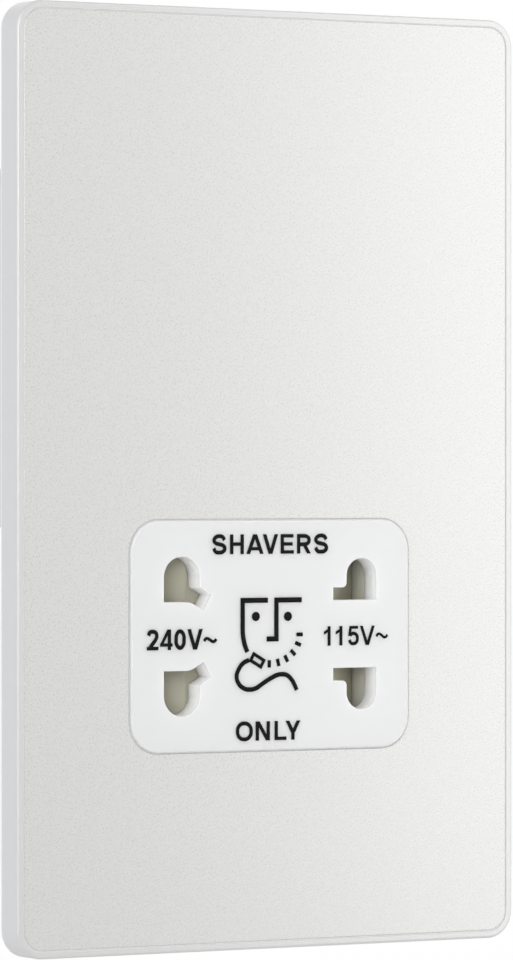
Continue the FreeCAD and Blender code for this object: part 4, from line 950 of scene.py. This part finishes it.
def makeSprings(recipe, node, joint, look):
    low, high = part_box(node)
    half = look["outside"] / 2 * mm
    wire = look["wire"] / 2 * mm
    middle = (low.y + high.y) / 2
    bottom, top = low.z + half, high.z - half
    mesh = bake(recipe, {
        "Length": high.x - low.x - 2 * wire,
        "Radius": half - wire,
        "Wire": wire,
        "Turns": look["turns"],
        "First": (low.x + wire, middle, bottom),
        "Step": (0.0, 0.0, top - bottom),
        "Finish": metals["springWire"],
    }, bpy.data.meshes.new(node))
    mesh.shade_smooth()
    piece = bpy.data.objects.new(joint.replace("_slide", "_returnSprings"), mesh)
    bpy.context.scene.collection.objects.link(piece)
    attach(piece, "fixed_unit")
    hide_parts(node)
    # the joint's whole travel is read here, but nothing makes the spring shorten by it
    limits = [item["range_m"] for item in frame["joints"] if item["name"] == joint][0]
    travel = max(abs(limit) for limit in limits)
    1 - travel / (high.x - low.x)
    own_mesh(piece)


springRecipe = makeSpringRecipe(springLook)
makeSprings(springRecipe, "springs_240", "shutter_240_slide", springLook)
makeSprings(springRecipe, "springs_115", "shutter_115_slide", springLook)
print("springs wound")


# a white room: a tall window close by on the right, a broad cool one on the left, lamps in front and behind
studioLook = {
    "floor": -0.13,  # m
    "floorReach": 4.0,
    "floorGlow": 0.93,  # how far the paper goes white where only the camera or a reflection sees it
    "paper": ((0.86, 0.86, 0.86, 1), (0.9, 0.9, 0.9, 1)),
    "room": 0.5,
    "roomTint": (0.985, 0.99, 1.0, 1),
}
lamps = {
    "window": {"place": (0.27, -0.225, 0.005), "aim": (0.02, 0, 0), "size": (0.22, 0.8), "watts": 1.1},
    "fill": {"place": (-0.80, -0.42, 0.06), "aim": (-0.03, 0, 0), "size": (0.9, 1.2), "watts": 4.2,
             "tint": (0.955, 0.975, 1.0)},
    "front": {"place": (-0.51, -0.70, 0.24), "aim": (0, 0, -0.02), "size": (0.4, 0.4), "watts": 2.2},
    "back": {"place": (0.35, 0.8, 0.3), "aim": (0, 0.03, 0), "size": (0.7, 0.7), "watts": 3.0},
}


def makeLamp(name, look):
    data = bpy.data.lights.new(name, "AREA")
    data.shape = "RECTANGLE"
    data.size, data.size_y = look["size"]
    data.energy = look["watts"]
    data.color = look.get("tint", (1.0, 1.0, 1.0))
    lamp = bpy.data.objects.new(name, data)
    bpy.context.scene.collection.objects.link(lamp)
    lamp.location = look["place"]
    towards = Vector(look["aim"]) - Vector(look["place"])
    lamp.rotation_euler = towards.to_track_quat("-Z", "Y").to_euler()


def makeRoom(look):
    world = bpy.data.worlds.new("room")
    bpy.context.scene.world = world
    world.use_nodes = True
    tree = world.node_tree
    tree.nodes.clear()
    rays = tree.nodes.new("ShaderNodeLightPath")
    mirrored = tree.nodes.new("ShaderNodeMath")
    seen = tree.nodes.new("ShaderNodeMath")
    mirrored.operation = seen.operation = "MAXIMUM"
    tree.links.new(rays.outputs["Is Glossy Ray"], mirrored.inputs[0])
    tree.links.new(rays.outputs["Is Transmission Ray"], mirrored.inputs[1])
    tree.links.new(rays.outputs["Is Camera Ray"], seen.inputs[0])
    tree.links.new(mirrored.outputs[0], seen.inputs[1])
    lit = tree.nodes.new("ShaderNodeBackground")
    lit.inputs["Color"].default_value = look["roomTint"]
    lit.inputs["Strength"].default_value = look["room"]
    white = tree.nodes.new("ShaderNodeBackground")
    white.inputs["Color"].default_value = (1, 1, 1, 1)
    white.inputs["Strength"].default_value = 1.0
    mix = tree.nodes.new("ShaderNodeMixShader")
    end = tree.nodes.new("ShaderNodeOutputWorld")
    tree.links.new(seen.outputs[0], mix.inputs[0])
    tree.links.new(lit.outputs[0], mix.inputs[1])
    tree.links.new(white.outputs[0], mix.inputs[2])
    tree.links.new(mix.outputs[0], end.inputs["Surface"])
    bpy.context.scene.view_settings.view_transform = "Standard"


def makeFloor(look):
    sheet = bmesh.new()
    bmesh.ops.create_grid(sheet, x_segments=2, y_segments=2, size=look["floorReach"])
    bmesh.ops.translate(sheet, verts=sheet.verts, vec=(0, 0, look["floor"]))
    mesh = bpy.data.meshes.new("studioFloor")
    sheet.to_mesh(mesh)
    sheet.free()
    floor = bpy.data.objects.new("studioFloor", mesh)
    bpy.context.scene.collection.objects.link(floor)
    paint = Paint("studioPaper")
    fibre = paint.noise(3.0, 3.0)
    paper = paint.node("ShaderNodeBsdfDiffuse", None, {"Color": paint.between(fibre, *look["paper"])})
    glow = paint.node("ShaderNodeEmission", None, {"Color": (1, 1, 1, 1), "Strength": 1.0})
    seen = paint.node("ShaderNodeLightPath", output="Is Camera Ray")
    for kind in ("Is Glossy Ray", "Is Transmission Ray"):
        seen = paint.math("MAXIMUM", seen, paint.node("ShaderNodeLightPath", output=kind))
    paint.close(paint.node("ShaderNodeMixShader", None, {0: seen * look["floorGlow"], 1: paper, 2: glow}))
    mesh.materials.append(paint.material)


makeRoom(studioLook)
for name, look in lamps.items():
    makeLamp(name, look)
makeFloor(studioLook)
print("studio lit")
